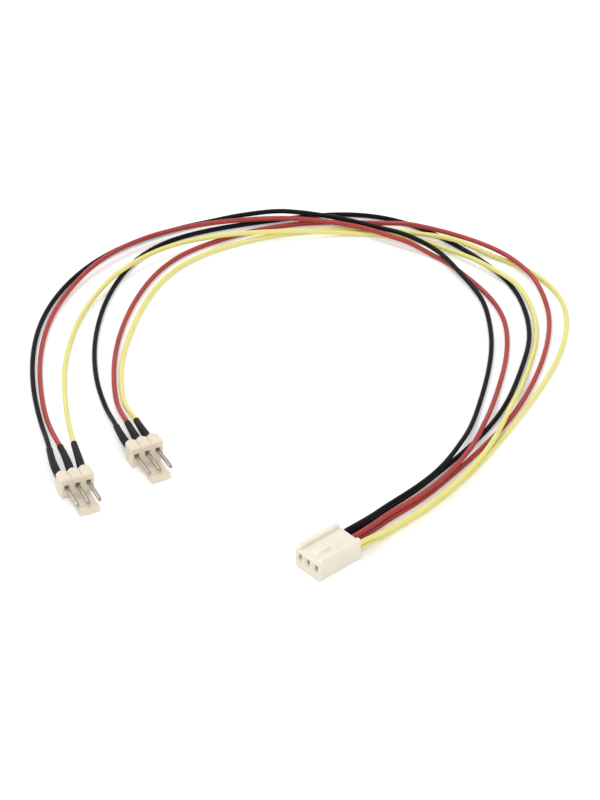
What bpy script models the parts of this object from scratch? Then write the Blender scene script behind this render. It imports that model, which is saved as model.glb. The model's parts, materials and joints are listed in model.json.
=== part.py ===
"""Fan splitter cable: one three-way socket feeding two three-way plugs through six thin wires.

Metres, +Z up. The cable lies on a flat surface at Z = 0 with its wires in an open loop.
+X runs to the right of the loop and +Y away from the open side, where the three connectors lie.
Each connector is modelled in its own frame: X along its row of contacts, Y from the mating end
towards the wires, Z up from the surface it lies on.
"""

import math

import bmesh
import bpy
import numpy as np
from mathutils import Matrix, Vector

MM = 0.001

# Row of contacts, shared by the socket and the plugs
PITCH = 2.54 * MM
CIRCUITS = 3
COLOURS = ("black", "red", "yellow")
SEAT_GAP = 0.3 * MM
CUT_MARGIN = 1.0 * MM
EDGE_ROUND = 0.22 * MM
EDGE_SEGMENTS = 2
BEVEL_ANGLE = 35.0
SHARP_ANGLE = 30.0
MERGE_DISTANCE = 0.01 * MM

# Square contact pin
PIN_SIDE = 0.64 * MM
PIN_REACH = 7.0 * MM
PIN_TAIL = 2.1 * MM
PIN_POINT = 0.55 * MM
PIN_POINT_SIDE = 0.30 * MM
PIN_FIT = 0.05 * MM

# Socket housing
SOCKET_END_WALL = 0.37 * MM
CAVITY_WIDTH = 1.90 * MM
SOCKET_LENGTH = 12.0 * MM
SOCKET_HEIGHT = 4.6 * MM
SOCKET_FRONT_WALL = 1.3 * MM
CAVITY_FLOOR = 0.65 * MM
CAVITY_HEIGHT = 3.30 * MM
ENTRY_HEIGHT = 2.9 * MM
ENTRY_WIDTH = 1.05 * MM
ENTRY_TALL = 1.45 * MM
ENTRY_LEAD = 0.35 * MM
ENTRY_LEAD_DEPTH = 0.45 * MM
RIB_WIDTH = 1.05 * MM
RIB_HEIGHT = 0.80 * MM
RIB_FRONT_SLOPE = 1.2 * MM
RIB_FRONT_HEIGHT = 0.27 * MM
LUG_WIDTH = 2.6 * MM
LUG_HEIGHT = 0.45 * MM
LUG_START = 1.6 * MM
LUG_LENGTH = 3.8 * MM
WINDOW_WIDTH = 1.10 * MM
WINDOW_LEAD = 0.2 * MM
WINDOW_LENGTH = 2.4 * MM
REAR_STEP_DEPTH = 0.8 * MM
REAR_STEP_HEIGHT = 0.5 * MM

# Folded sheet terminal inside each cavity
SHEET = 0.15 * MM
TERMINAL_SIDE_GAP = 0.15 * MM
TERMINAL_END_GAP = 0.1 * MM
TERMINAL_LENGTH = 9.2 * MM
TERMINAL_CORNER = 0.30 * MM
TERMINAL_SEAM = 0.25 * MM
NECK_START = 4.8 * MM
NECK_LENGTH = 1.8 * MM
NECK_WALL_HEIGHT = 0.9 * MM
SPRING_WIDTH = 0.8 * MM
SPRING_ROOT = 4.4 * MM
SPRING_TOP = 1.9 * MM
SPRING_TIP = 0.7 * MM
SPRING_RISE = 1.25 * MM
SPRING_TIP_DROP = 0.35 * MM
SPRING_POINTS = 9
LANCE_WIDTH = 0.7 * MM
LANCE_LENGTH = 1.3 * MM
LANCE_DROP = 0.40 * MM

# Plug body with its locking tongue
PLUG_END_WALL = 1.0 * MM
PLUG_LENGTH = 3.2 * MM
PLUG_HEIGHT = 5.0 * MM
TONGUE_WIDTH = 4.6 * MM
TONGUE_THICK = 1.0 * MM
TONGUE_LENGTH = 7.2 * MM
TONGUE_PASS = 0.1 * MM
TONGUE_ROOT = 0.9 * MM
TONGUE_ROOT_WAIST = 0.3 * MM
HOOK_LENGTH = 1.3 * MM
HOOK_HEIGHT = 0.45 * MM
HOOK_FLAT = 0.39 * MM
TIP_SLOPE = 0.35 * MM
COLLAR_RADIUS = 1.02 * MM
COLLAR_REACH = 0.55 * MM
COLLAR_TALL = 1.0 * MM
COLLAR_SIDES = 20
NOTCH_WIDTH = 0.7 * MM
NOTCH_DEPTH = 0.4 * MM
NOTCH_RISE = 0.1 * MM

# Wires and the shrunk sleeves over their soldered ends
WIRE_DIAMETER = 1.1 * MM
WIRE_REST = 0.05 * MM
WIRE_POINTS = 80
WIRE_BEVEL_RESOLUTION = 2
SLEEVE_LENGTHS = {"left": 11.6 * MM, "right": 9.0 * MM}
SLEEVE_BORE = 1.44 * MM
SLEEVE_WALL = 0.21 * MM
SLEEVE_POINTS = 7
SLEEVE_BEVEL_RESOLUTION = 4
STACK = 1.4 * MM
CRIMP_INSET = 3.3 * MM
LEAD_OUT = 1.5 * MM
ROUTE_STEP = 0.25 * MM

# Where the connectors lie. The plan is drawn from the middle of the loop's picture, and
# PLAN_ORIGIN in that plan is the middle of the three connectors.
PLAN_ORIGIN = (-21.23 * MM, -36.43 * MM)
SOCKET_PLACE = (1.5 * MM, -60.3 * MM)
SOCKET_TURN = -48.4
LEFT_PLUG_PLACE = (-47.8 * MM, -33.7 * MM)
LEFT_PLUG_TURN = 23.5
RIGHT_PLUG_PLACE = (-33.1 * MM, -22.6 * MM)
RIGHT_PLUG_TURN = 26.5

# Where each wire passes behind its plug, in the plug's own frame and in millimetres: first
# just behind the block, then at the end of its sleeve. These join onto the routes below.
TAILS = {
    "black_left": ((-2.4, 7.2, 2.8), (-0.6, 15.8, 2.1)),
    "red_left": ((0.7, 7.2, 2.8), (1.7, 15.0, 2.1)),
    "yellow_left": ((3.3, 7.2, 2.8), (4.8, 14.5, 2.1)),
    "black_right": ((-2.5, 7.0, 2.8), (-1.7, 12.5, 2.2)),
    "red_right": ((0.2, 7.0, 2.8), (1.0, 12.6, 2.2)),
    "yellow_right": ((2.5, 7.0, 2.8), (3.1, 12.4, 2.2)),
}

# Wire routes. Each wire passes these stations on rays from the loop's centre, 10 degrees apart,
# clockwise from above. A point is its distance from the centre and its lift off the surface,
# both in millimetres.
LOOP_CENTRE = (-3.0 * MM, 12.0 * MM)
FIRST_STATION = 200
STATION_STEP = -10
ROUTES = {
    "black_left": (
        (57.6, 0.0), (56.7, 0.0), (56.6, 0.0), (57.1, 0.0), (57.8, 0.0),
        (58.4, 0.0), (58.8, 0.0), (58.7, 0.0), (58.2, 0.0), (57.9, 0.0), (57.8, 0.6),
        (57.2, 1.4), (56.0, 1.4), (55.1, 1.4), (54.4, 2.0), (53.9, 1.4), (51.6, 1.2),
        (50.6, 0.3), (48.5, 0.0), (46.6, 0.0), (45.2, 0.0), (44.6, 0.0), (45.0, 0.0),
        (46.5, 0.4), (48.6, 1.1), (51.3, 1.4), (53.8, 1.4), (57.5, 1.5),
    ),
    "red_left": (
        (56.1, 0.0), (55.1, 0.0), (54.9, 0.0), (55.3, 0.0), (56.0, 0.1),
        (56.6, 0.5), (57.1, 1.1), (57.2, 1.3), (56.6, 1.3), (55.5, 1.4), (54.7, 1.4),
        (54.4, 1.4), (53.9, 1.4), (53.5, 1.4), (52.9, 1.4), (53.5, 0.0), (52.9, 0.0),
        (52.6, 0.0), (51.9, 0.0), (50.2, 0.0), (48.6, 0.0), (47.7, 0.0), (48.0, 0.6),
        (49.4, 1.4), (51.5, 1.4), (53.8, 1.4), (56.4, 1.4), (59.9, 1.5),
    ),
    "yellow_left": (
        (51.4, 0.0), (49.9, 0.0), (49.3, 0.0), (49.2, 0.0), (49.7, 0.1),
        (50.2, 0.6), (50.6, 1.4), (51.0, 1.4), (50.9, 1.4), (50.1, 1.4), (49.4, 1.4),
        (49.4, 1.4), (50.9, 0.6), (53.4, 0.0), (56.1, 0.0), (57.0, 0.4), (57.7, 1.4),
        (59.4, 1.4), (59.0, 0.4), (56.8, 0.0), (54.1, 0.0), (52.6, 0.5), (52.2, 1.4),
        (53.2, 1.4), (54.9, 1.4), (57.1, 1.4), (60.2, 1.4), (64.0, 1.5),
    ),
    "black_right": (
        (42.6, 0.0), (42.4, 0.0), (42.7, 0.0), (43.6, 0.0), (45.1, 0.0),
        (47.3, 0.0), (50.0, 0.0), (52.9, 0.0), (54.4, 0.0), (54.6, 0.0), (54.9, 0.0),
        (56.2, 0.0), (58.7, 0.0), (60.6, 0.0), (60.8, 0.0), (60.0, 0.0), (59.6, 0.0),
        (59.1, 0.0), (57.4, 0.0), (55.2, 0.0), (52.6, 0.0), (51.0, 0.0), (50.2, 0.0),
        (49.7, 0.0), (49.8, 0.0), (50.9, 0.0), (53.3, 0.0), (57.0, 0.1),
    ),
    "red_right": (
        (39.8, 0.0), (38.8, 0.0), (38.4, 0.0), (38.6, 0.0), (39.4, 0.0),
        (40.9, 0.0), (43.1, 0.0), (45.8, 0.0), (48.2, 0.0), (49.8, 0.0), (51.6, 0.0),
        (53.6, 0.0), (55.6, 0.0), (57.6, 0.3), (59.6, 1.4), (61.8, 1.4), (63.9, 1.4),
        (64.4, 1.1), (62.7, 0.0), (59.6, 0.0), (56.6, 0.0), (54.4, 0.0), (53.0, 0.0),
        (52.2, 0.0), (52.4, 0.0), (53.8, 0.0), (56.4, 0.0), (60.1, 0.1),
    ),
    "yellow_right": (
        (38.2, 0.0), (37.2, 0.0), (36.7, 0.0), (36.6, 0.0), (37.1, 0.0),
        (38.4, 0.0), (40.5, 0.0), (43.0, 0.0), (45.2, 0.0), (46.8, 0.0), (48.4, 0.0),
        (50.4, 0.0), (52.6, 0.0), (55.0, 0.0), (57.6, 0.5), (59.9, 1.4), (63.2, 0.0),
        (66.4, 0.0), (66.6, 0.0), (63.5, 0.0), (59.7, 0.0), (56.5, 0.0), (54.6, 0.0),
        (54.1, 0.0), (55.0, 0.0), (56.8, 0.0), (59.6, 0.0), (63.4, 0.1),
    ),
}

SOCKET_WIDTH = (CIRCUITS - 1) * PITCH + CAVITY_WIDTH + 2 * SOCKET_END_WALL
PLUG_WIDTH = (CIRCUITS - 1) * PITCH + PIN_SIDE + 2 * PLUG_END_WALL
ROW = tuple((index - (CIRCUITS - 1) / 2) * PITCH for index in range(CIRCUITS))
PIN_HEIGHT = TONGUE_THICK + TONGUE_PASS + SOCKET_HEIGHT - ENTRY_HEIGHT
WIRE_RADIUS = WIRE_DIAMETER / 2
WIRE_REST_HEIGHT = WIRE_RADIUS + WIRE_REST
CAVITY_MIDDLE = CAVITY_FLOOR + CAVITY_HEIGHT / 2
TERMINAL_FRONT = SOCKET_FRONT_WALL + TERMINAL_END_GAP
WINDOW_START = TERMINAL_FRONT + NECK_START - WINDOW_LEAD


def clear_scene():
    for obj in list(bpy.data.objects):
        bpy.data.objects.remove(obj, do_unlink=True)


def make_collection(name):
    collection = bpy.data.collections.new(name)
    bpy.context.scene.collection.children.link(collection)
    return collection


def make_material(name, colour, roughness, metallic=0.0):
    material = bpy.data.materials.new(name)
    material.use_nodes = True
    shader = material.node_tree.nodes["Principled BSDF"]
    shader.inputs["Base Color"].default_value = (*colour, 1.0)
    shader.inputs["Roughness"].default_value = roughness
    shader.inputs["Metallic"].default_value = metallic
    material.diffuse_color = (*colour, 1.0)
    return material


def mesh_object(name, mesh, collection, parent=None):
    obj = bpy.data.objects.new(name, mesh)
    collection.objects.link(obj)
    obj.parent = parent
    return obj


def box_mesh(name, low, high):
    """A closed box between two corners."""
    size = Vector(high) - Vector(low)
    middle = (Vector(high) + Vector(low)) / 2
    work = bmesh.new()
    bmesh.ops.create_cube(work, size=1.0, matrix=Matrix.Translation(middle) @ Matrix.Diagonal((*size, 1.0)))
    mesh = bpy.data.meshes.new(name)
    work.to_mesh(mesh)
    work.free()
    return mesh


def box_object(name, low, high, collection, parent=None):
    return mesh_object(name, box_mesh(name, low, high), collection, parent)


def prism_object(name, outline, axis, start, stop, collection, parent=None):
    """A flat outline given in the two axes across `axis`, extruded from start to stop along it."""
    work = bmesh.new()
    corners = []
    for first, second in outline:
        place = [first, second]
        place.insert(axis, start)
        corners.append(work.verts.new(place))
    face = work.faces.new(corners)
    moved = bmesh.ops.extrude_face_region(work, geom=[face])
    shift = [0.0, 0.0, 0.0]
    shift[axis] = stop - start
    raised = [item for item in moved["geom"] if isinstance(item, bmesh.types.BMVert)]
    bmesh.ops.translate(work, verts=raised, vec=shift)
    bmesh.ops.recalc_face_normals(work, faces=work.faces)
    mesh = bpy.data.meshes.new(name)
    work.to_mesh(mesh)
    work.free()
    return mesh_object(name, mesh, collection, parent)


def tapered_box(name, sections, collection, parent=None):
    """A four-sided bar through rectangles, each (middle x, y, middle z, width, height)."""
    work = bmesh.new()
    rings = []
    for x, y, z, width, height in sections:
        ring = [
            work.verts.new((x + side * width / 2, y, z + lift * height / 2))
            for side, lift in ((-1, -1), (1, -1), (1, 1), (-1, 1))
        ]
        rings.append(ring)
    for ring, following in zip(rings, rings[1:]):
        for index in range(4):
            other = (index + 1) % 4
            work.faces.new((ring[index], ring[other], following[other], following[index]))
    work.faces.new(rings[0])
    work.faces.new(rings[-1])
    bmesh.ops.recalc_face_normals(work, faces=work.faces)
    mesh = bpy.data.meshes.new(name)
    work.to_mesh(mesh)
    work.free()
    return mesh_object(name, mesh, collection, parent)


def add_bevel(obj, width, segments=EDGE_SEGMENTS):
    bevel = obj.modifiers.new("edges", "BEVEL")
    bevel.width = width
    bevel.segments = segments
    bevel.limit_method = "ANGLE"
    bevel.angle_limit = math.radians(BEVEL_ANGLE)


def add_boolean(obj, other, operation):
    cut = obj.modifiers.new(operation.lower(), "BOOLEAN")
    cut.operation = operation
    cut.solver = "EXACT"
    cut.object = other
    other.hide_render = True
    other.display_type = "WIRE"


def finish(obj, material):
    obj.data.materials.clear()
    obj.data.materials.append(material)
    obj.data.shade_smooth()
    obj.data.set_sharp_from_angle(angle=math.radians(SHARP_ANGLE))


def connector_frame(name, place, turn, collection):
    empty = bpy.data.objects.new(name, None)
    collection.objects.link(empty)
    empty.location = plan_point(*place, 0.0)
    empty.rotation_euler = (0.0, 0.0, math.radians(turn))
    return empty


def plan_point(x, y, z):
    """A point of the plan as a world position."""
    return Vector((x - PLAN_ORIGIN[0], y - PLAN_ORIGIN[1], z))


def frame_point(place, turn, x, y, z):
    """A point of a connector's own frame as a world position."""
    return plan_point(*place, 0.0) + Matrix.Rotation(math.radians(turn), 3, "Z") @ Vector((x, y, z))


# Socket


def socket_housing(frame, parts, cutters, material):
    half = SOCKET_WIDTH / 2
    body = box_object("socket_housing", (-half, 0.0, 0.0), (half, SOCKET_LENGTH, SOCKET_HEIGHT), parts, frame)
    add_bevel(body, EDGE_ROUND)
    for side in (-1, 1):
        add_boolean(body, socket_rib(side, frame, cutters), "UNION")
    add_boolean(body, socket_lug(frame, cutters), "UNION")
    for x in ROW:
        low = (x - CAVITY_WIDTH / 2, SOCKET_FRONT_WALL, CAVITY_FLOOR)
        high = (x + CAVITY_WIDTH / 2, SOCKET_LENGTH + CUT_MARGIN, CAVITY_FLOOR + CAVITY_HEIGHT)
        add_boolean(body, box_object("cavity_cut", low, high, cutters, frame), "DIFFERENCE")
        add_boolean(body, socket_entry(x, frame, cutters), "DIFFERENCE")
        low = (x - WINDOW_WIDTH / 2, WINDOW_START, -CUT_MARGIN)
        high = (x + WINDOW_WIDTH / 2, WINDOW_START + WINDOW_LENGTH, CAVITY_FLOOR + CUT_MARGIN)
        add_boolean(body, box_object("window_cut", low, high, cutters, frame), "DIFFERENCE")
    low = (-half - CUT_MARGIN, SOCKET_LENGTH - REAR_STEP_DEPTH, -CUT_MARGIN)
    high = (half + CUT_MARGIN, SOCKET_LENGTH + CUT_MARGIN, REAR_STEP_HEIGHT)
    add_boolean(body, box_object("rear_step_cut", low, high, cutters, frame), "DIFFERENCE")
    finish(body, material)


def socket_rib(side, frame, cutters):
    """One of the two guide rails along the top, sloped at the mating end."""
    top = SOCKET_HEIGHT + RIB_HEIGHT
    foot = SOCKET_HEIGHT - EDGE_ROUND * 2
    outline = (
        (EDGE_ROUND, foot),
        (SOCKET_LENGTH - EDGE_ROUND, foot),
        (SOCKET_LENGTH - EDGE_ROUND, top),
        (EDGE_ROUND + RIB_FRONT_SLOPE, top),
        (EDGE_ROUND, SOCKET_HEIGHT + RIB_FRONT_HEIGHT),
    )
    outer = SOCKET_WIDTH / 2
    inner = outer - RIB_WIDTH
    start, stop = sorted((side * inner, side * outer))
    rib = prism_object("rib_add", outline, 0, start, stop, cutters, frame)
    add_bevel(rib, EDGE_ROUND / 2, 1)
    return rib


def socket_lug(frame, cutters):
    """The ramp between the rails that the plug's hook snaps over."""
    foot = SOCKET_HEIGHT - EDGE_ROUND
    outline = (
        (LUG_START, foot),
        (LUG_START + LUG_LENGTH, foot),
        (LUG_START + LUG_LENGTH, SOCKET_HEIGHT + LUG_HEIGHT),
        (LUG_START + LUG_LENGTH / 2, SOCKET_HEIGHT + LUG_HEIGHT),
        (LUG_START, SOCKET_HEIGHT),
    )
    return prism_object("lug_add", outline, 0, -LUG_WIDTH / 2, LUG_WIDTH / 2, cutters, frame)


def socket_entry(x, frame, cutters):
    """The pin's way in through the front wall, flared at the mating face."""
    flare = 2 * ENTRY_LEAD
    beyond = flare * (1 + CUT_MARGIN / ENTRY_LEAD_DEPTH)
    sections = (
        (x, -CUT_MARGIN, ENTRY_HEIGHT, ENTRY_WIDTH + beyond, ENTRY_TALL + beyond),
        (x, ENTRY_LEAD_DEPTH, ENTRY_HEIGHT, ENTRY_WIDTH, ENTRY_TALL),
        (x, SOCKET_FRONT_WALL + CUT_MARGIN / 2, ENTRY_HEIGHT, ENTRY_WIDTH, ENTRY_TALL),
    )
    return tapered_box("entry_cut", sections, cutters, frame)


def terminal_section():
    """The terminal's folded section, an open loop of (x, z) with its seam at the top."""
    half = CAVITY_WIDTH / 2 - TERMINAL_SIDE_GAP
    low = CAVITY_FLOOR + TERMINAL_SIDE_GAP
    high = CAVITY_FLOOR + CAVITY_HEIGHT - TERMINAL_SIDE_GAP
    bend = TERMINAL_CORNER
    quarter = TERMINAL_CORNER * (1 - math.sqrt(0.5))
    right = (
        (TERMINAL_SEAM / 2, high),
        (half - bend, high),
        (half - quarter, high - quarter),
        (half, high - bend),
        (half, low + bend),
        (half - quarter, low + quarter),
        (half - bend, low),
    )
    return right + tuple((-x, z) for x, z in reversed(right))


def sheet_object(name, path, axis, start, stop, thickness, collection, parent):
    """An open line given across `axis`, swept along it and thickened to its inner side."""
    work = bmesh.new()
    rows = []
    for level in (start, stop):
        row = []
        for first, second in path:
            place = [first, second]
            place.insert(axis, level)
            row.append(work.verts.new(place))
        rows.append(row)
    for index in range(len(path) - 1):
        work.faces.new((rows[0][index], rows[0][index + 1], rows[1][index + 1], rows[1][index]))
    mesh = bpy.data.meshes.new(name)
    work.to_mesh(mesh)
    work.free()
    obj = mesh_object(name, mesh, collection, parent)
    solid = obj.modifiers.new("sheet", "SOLIDIFY")
    solid.thickness = thickness
    solid.offset = -1.0
    solid.use_even_offset = True
    return obj


def socket_terminal(number, x, frame, parts, cutters, material):
    """A folded contact: box and spring in front, open neck, crimped barrel round the wires."""
    front = TERMINAL_FRONT
    floor = CAVITY_FLOOR + TERMINAL_SIDE_GAP
    top = CAVITY_FLOOR + CAVITY_HEIGHT
    path = [(x + across, up) for across, up in terminal_section()]
    name = f"socket_terminal_{number}"
    body = sheet_object(name, path, 1, front, front + TERMINAL_LENGTH, SHEET, parts, frame)
    low = (x - CAVITY_WIDTH, front + NECK_START, floor + NECK_WALL_HEIGHT)
    high = (x + CAVITY_WIDTH, front + NECK_START + NECK_LENGTH, top + CUT_MARGIN)
    add_boolean(body, box_object("neck_cut", low, high, cutters, frame), "DIFFERENCE")
    add_boolean(body, terminal_spring(x, front, floor, frame, cutters), "UNION")
    lance = (
        (front + NECK_START + LANCE_LENGTH, floor + SHEET / 2),
        (front + NECK_START, floor + SHEET / 2),
        (front + NECK_START, floor - SHEET),
        (front + NECK_START + LANCE_LENGTH, floor - LANCE_DROP),
    )
    half = LANCE_WIDTH / 2
    add_boolean(body, prism_object("lance_add", lance, 0, x - half, x + half, cutters, frame), "UNION")
    finish(body, material)


def terminal_spring(x, front, floor, frame, cutters):
    """The contact spring, a strip that rises from the box's floor to press on the pin."""
    path = []
    for index in range(SPRING_POINTS):
        share = index / (SPRING_POINTS - 1)
        y = SPRING_ROOT + (SPRING_TIP - SPRING_ROOT) * share
        if y > SPRING_TOP:
            climb = (SPRING_ROOT - y) / (SPRING_ROOT - SPRING_TOP)
            z = SPRING_RISE * math.sin(climb * math.pi / 2) ** 2
        else:
            fall = (SPRING_TOP - y) / (SPRING_TOP - SPRING_TIP)
            z = SPRING_RISE - SPRING_TIP_DROP * fall ** 2
        path.append((front + y, floor + SHEET / 2 + z))
    half = SPRING_WIDTH / 2
    return sheet_object("spring_add", path, 0, x - half, x + half, SHEET, cutters, frame)


# Plugs


def plug_body(name, frame, parts, cutters, material):
    """The block that holds the pins, with the hooked tongue under them and collars behind."""
    half = PLUG_WIDTH / 2
    body = box_object(name, (-half, 0.0, 0.0), (half, PLUG_LENGTH, PLUG_HEIGHT), parts, frame)
    add_bevel(body, EDGE_ROUND)
    add_boolean(body, plug_tongue(frame, cutters), "UNION")
    for x in ROW:
        add_boolean(body, plug_collar(x, frame, cutters), "UNION")
        hole = PIN_SIDE / 2 + PIN_FIT
        low = (x - hole, -CUT_MARGIN, PIN_HEIGHT - hole)
        high = (x + hole, PLUG_LENGTH + CUT_MARGIN, PIN_HEIGHT + hole)
        add_boolean(body, box_object("pin_cut", low, high, cutters, frame), "DIFFERENCE")
    for x in ROW[:-1]:
        between = x + PITCH / 2
        notch = (
            (between - NOTCH_WIDTH / 2, PLUG_HEIGHT + NOTCH_RISE),
            (between, PLUG_HEIGHT - NOTCH_DEPTH),
            (between + NOTCH_WIDTH / 2, PLUG_HEIGHT + NOTCH_RISE),
        )
        cutter = prism_object("notch_cut", notch, 1, -CUT_MARGIN, PLUG_LENGTH + CUT_MARGIN, cutters, frame)
        add_boolean(body, cutter, "DIFFERENCE")
    finish(body, material)


def plug_tongue(frame, cutters):
    """The springy tongue, seen from its side: root fillet, flat, hook ramp and sloped tip."""
    top = TONGUE_THICK
    inside = EDGE_ROUND * 2
    outline = (
        (inside, 0.0),
        (inside, top + TONGUE_ROOT),
        (0.0, top + TONGUE_ROOT),
        (-TONGUE_ROOT_WAIST, top + TONGUE_ROOT_WAIST),
        (-TONGUE_ROOT, top),
        (-TONGUE_LENGTH + HOOK_LENGTH, top),
        (-TONGUE_LENGTH + HOOK_LENGTH, top + HOOK_HEIGHT),
        (-TONGUE_LENGTH + HOOK_LENGTH - HOOK_FLAT, top + HOOK_HEIGHT),
        (-TONGUE_LENGTH, top - TIP_SLOPE),
        (-TONGUE_LENGTH, TIP_SLOPE),
        (-TONGUE_LENGTH + TIP_SLOPE, 0.0),
    )
    half = TONGUE_WIDTH / 2
    return prism_object("tongue_add", outline, 0, -half, half, cutters, frame)


def plug_collar(x, frame, cutters):
    """One of the round humps along the top of the rear edge, over each sleeve."""
    work = bmesh.new()
    height = PLUG_HEIGHT - COLLAR_TALL / 2 - EDGE_ROUND
    middle = Vector((x, PLUG_LENGTH + COLLAR_REACH - COLLAR_RADIUS, height))
    bmesh.ops.create_cone(
        work,
        cap_ends=True,
        segments=COLLAR_SIDES,
        radius1=COLLAR_RADIUS,
        radius2=COLLAR_RADIUS,
        depth=COLLAR_TALL,
        matrix=Matrix.Translation(middle),
    )
    mesh = bpy.data.meshes.new("collar_add")
    work.to_mesh(mesh)
    work.free()
    return mesh_object("collar_add", mesh, cutters, frame)


def plug_pin(name, x, frame, parts, material):
    """A square pin with pointed ends, pushed through the block."""
    tip = -PIN_REACH
    tail = PLUG_LENGTH + PIN_TAIL
    sections = (
        (x, tip, PIN_HEIGHT, PIN_POINT_SIDE, PIN_POINT_SIDE),
        (x, tip + PIN_POINT, PIN_HEIGHT, PIN_SIDE, PIN_SIDE),
        (x, tail - PIN_POINT, PIN_HEIGHT, PIN_SIDE, PIN_SIDE),
        (x, tail, PIN_HEIGHT, PIN_POINT_SIDE, PIN_POINT_SIDE),
    )
    finish(tapered_box(name, sections, parts, frame), material)


# Wires and sleeves


def route_points(wire_name, plug_place, plug_turn, x, upper):
    """A wire's own points: out of the plug, round the loop and into the socket's cavity."""
    points = [frame_point(plug_place, plug_turn, x, PLUG_LENGTH + SEAT_GAP, PIN_HEIGHT)]
    for tail in TAILS[wire_name]:
        points.append(frame_point(plug_place, plug_turn, *(value * MM for value in tail)))
    for index, (radius, lift) in enumerate(ROUTES[wire_name]):
        angle = math.radians(FIRST_STATION + index * STATION_STEP)
        across = LOOP_CENTRE[0] + radius * MM * math.cos(angle)
        away = LOOP_CENTRE[1] + radius * MM * math.sin(angle)
        points.append(plan_point(across, away, WIRE_REST_HEIGHT + lift * MM))
    height = CAVITY_MIDDLE + (STACK / 2 if upper else -STACK / 2)
    for beyond in (LEAD_OUT, 0.0, -CRIMP_INSET):
        points.append(frame_point(SOCKET_PLACE, SOCKET_TURN, x, SOCKET_LENGTH + beyond, height))
    return points


def spline_slopes(knots, values):
    """End-to-end slopes of the smoothest curve through the values (a natural cubic spline)."""
    count = len(knots)
    gaps = np.diff(knots)
    matrix = np.zeros((count, count))
    right = np.zeros((count, values.shape[1]))
    matrix[0, :2] = (2.0, 1.0)
    right[0] = 3 * (values[1] - values[0]) / gaps[0]
    matrix[-1, -2:] = (1.0, 2.0)
    right[-1] = 3 * (values[-1] - values[-2]) / gaps[-1]
    for index in range(1, count - 1):
        before, after = gaps[index - 1], gaps[index]
        matrix[index, index - 1:index + 2] = (after, 2 * (before + after), before)
        rise_before = (values[index] - values[index - 1]) / before
        rise_after = (values[index + 1] - values[index]) / after
        right[index] = 3 * (after * rise_before + before * rise_after)
    return np.linalg.solve(matrix, right)


def level_slopes(knots, heights):
    """Slopes that never carry a height past its neighbours, so a wire can't dip or hump."""
    rises = np.diff(heights) / np.diff(knots)
    slopes = np.zeros_like(heights)
    for index in range(1, len(heights) - 1):
        before, after = rises[index - 1], rises[index]
        if before * after > 0:
            slopes[index] = 2 * before * after / (before + after)
    return slopes


def smooth_line(points):
    """A dense line on one smooth curve through the points, flat where the points are flat."""
    places = np.array([tuple(point) for point in points])
    knots = np.concatenate(([0.0], np.cumsum(np.linalg.norm(np.diff(places[:, :2], axis=0), axis=1))))
    flat = spline_slopes(knots, places[:, :2])
    slopes = np.column_stack((flat, level_slopes(knots, places[:, 2])))
    at = np.linspace(0.0, knots[-1], int(knots[-1] / ROUTE_STEP))
    span = np.clip(np.searchsorted(knots, at, side="right") - 1, 0, len(knots) - 2)
    width = (knots[span + 1] - knots[span])[:, None]
    share = ((at - knots[span]) / width[:, 0])[:, None]
    return (
        (2 * share ** 3 - 3 * share ** 2 + 1) * places[span]
        + (share ** 3 - 2 * share ** 2 + share) * width * slopes[span]
        + (3 * share ** 2 - 2 * share ** 3) * places[span + 1]
        + (share ** 3 - share ** 2) * width * slopes[span + 1]
    )


def stretch(line, start, stop, count):
    """`count` points spaced evenly along the line between two distances from its first end."""
    along = np.concatenate(([0.0], np.cumsum(np.linalg.norm(np.diff(line, axis=0), axis=1))))
    if stop is None:
        stop = along[-1]
    wanted = np.linspace(start, stop, count)
    return np.column_stack([np.interp(wanted, along, line[:, axis]) for axis in range(3)])


def tube_curve(name, points, radius, resolution, collection):
    """A round tube along the points, with closed ends."""
    curve = bpy.data.curves.new(name, "CURVE")
    curve.dimensions = "3D"
    curve.bevel_depth = radius
    curve.bevel_resolution = resolution
    curve.use_fill_caps = True
    spline = curve.splines.new("POLY")
    spline.points.add(len(points) - 1)
    for point, place in zip(spline.points, points):
        point.co = (*place, 1.0)
    obj = bpy.data.objects.new(name, curve)
    collection.objects.link(obj)
    return obj


def curve_to_mesh(obj, collection):
    """The same tube as a closed mesh object, for cutting."""
    graph = bpy.context.evaluated_depsgraph_get()
    mesh = bpy.data.meshes.new_from_object(obj.evaluated_get(graph))
    work = bmesh.new()
    work.from_mesh(mesh)
    bmesh.ops.remove_doubles(work, verts=work.verts, dist=MERGE_DISTANCE)
    bmesh.ops.recalc_face_normals(work, faces=work.faces)
    work.to_mesh(mesh)
    work.free()
    name = obj.name
    matrix = obj.matrix_world.copy()
    bpy.data.objects.remove(obj, do_unlink=True)
    solid = mesh_object(name, mesh, collection)
    solid.matrix_world = matrix
    return solid


def sleeve(name, line, length, parts, cutters, material):
    """The shrunk sleeve, an open tube over the soldered joint and the end of its wire."""
    bore = SLEEVE_BORE / 2
    points = stretch(line, 0.0, length, SLEEVE_POINTS)
    curve = tube_curve(name, points, bore + SLEEVE_WALL, SLEEVE_BEVEL_RESOLUTION, parts)
    outer = curve_to_mesh(curve, parts)
    lead = (points[1] - points[0]) / np.linalg.norm(points[1] - points[0])
    trail = (points[-1] - points[-2]) / np.linalg.norm(points[-1] - points[-2])
    through = np.vstack((points[0] - lead * CUT_MARGIN, points[1:-1], points[-1] + trail * CUT_MARGIN))
    curve = tube_curve("bore_cut", through, bore, SLEEVE_BEVEL_RESOLUTION, cutters)
    inner = curve_to_mesh(curve, cutters)
    add_boolean(outer, inner, "DIFFERENCE")
    finish(outer, material)


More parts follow.
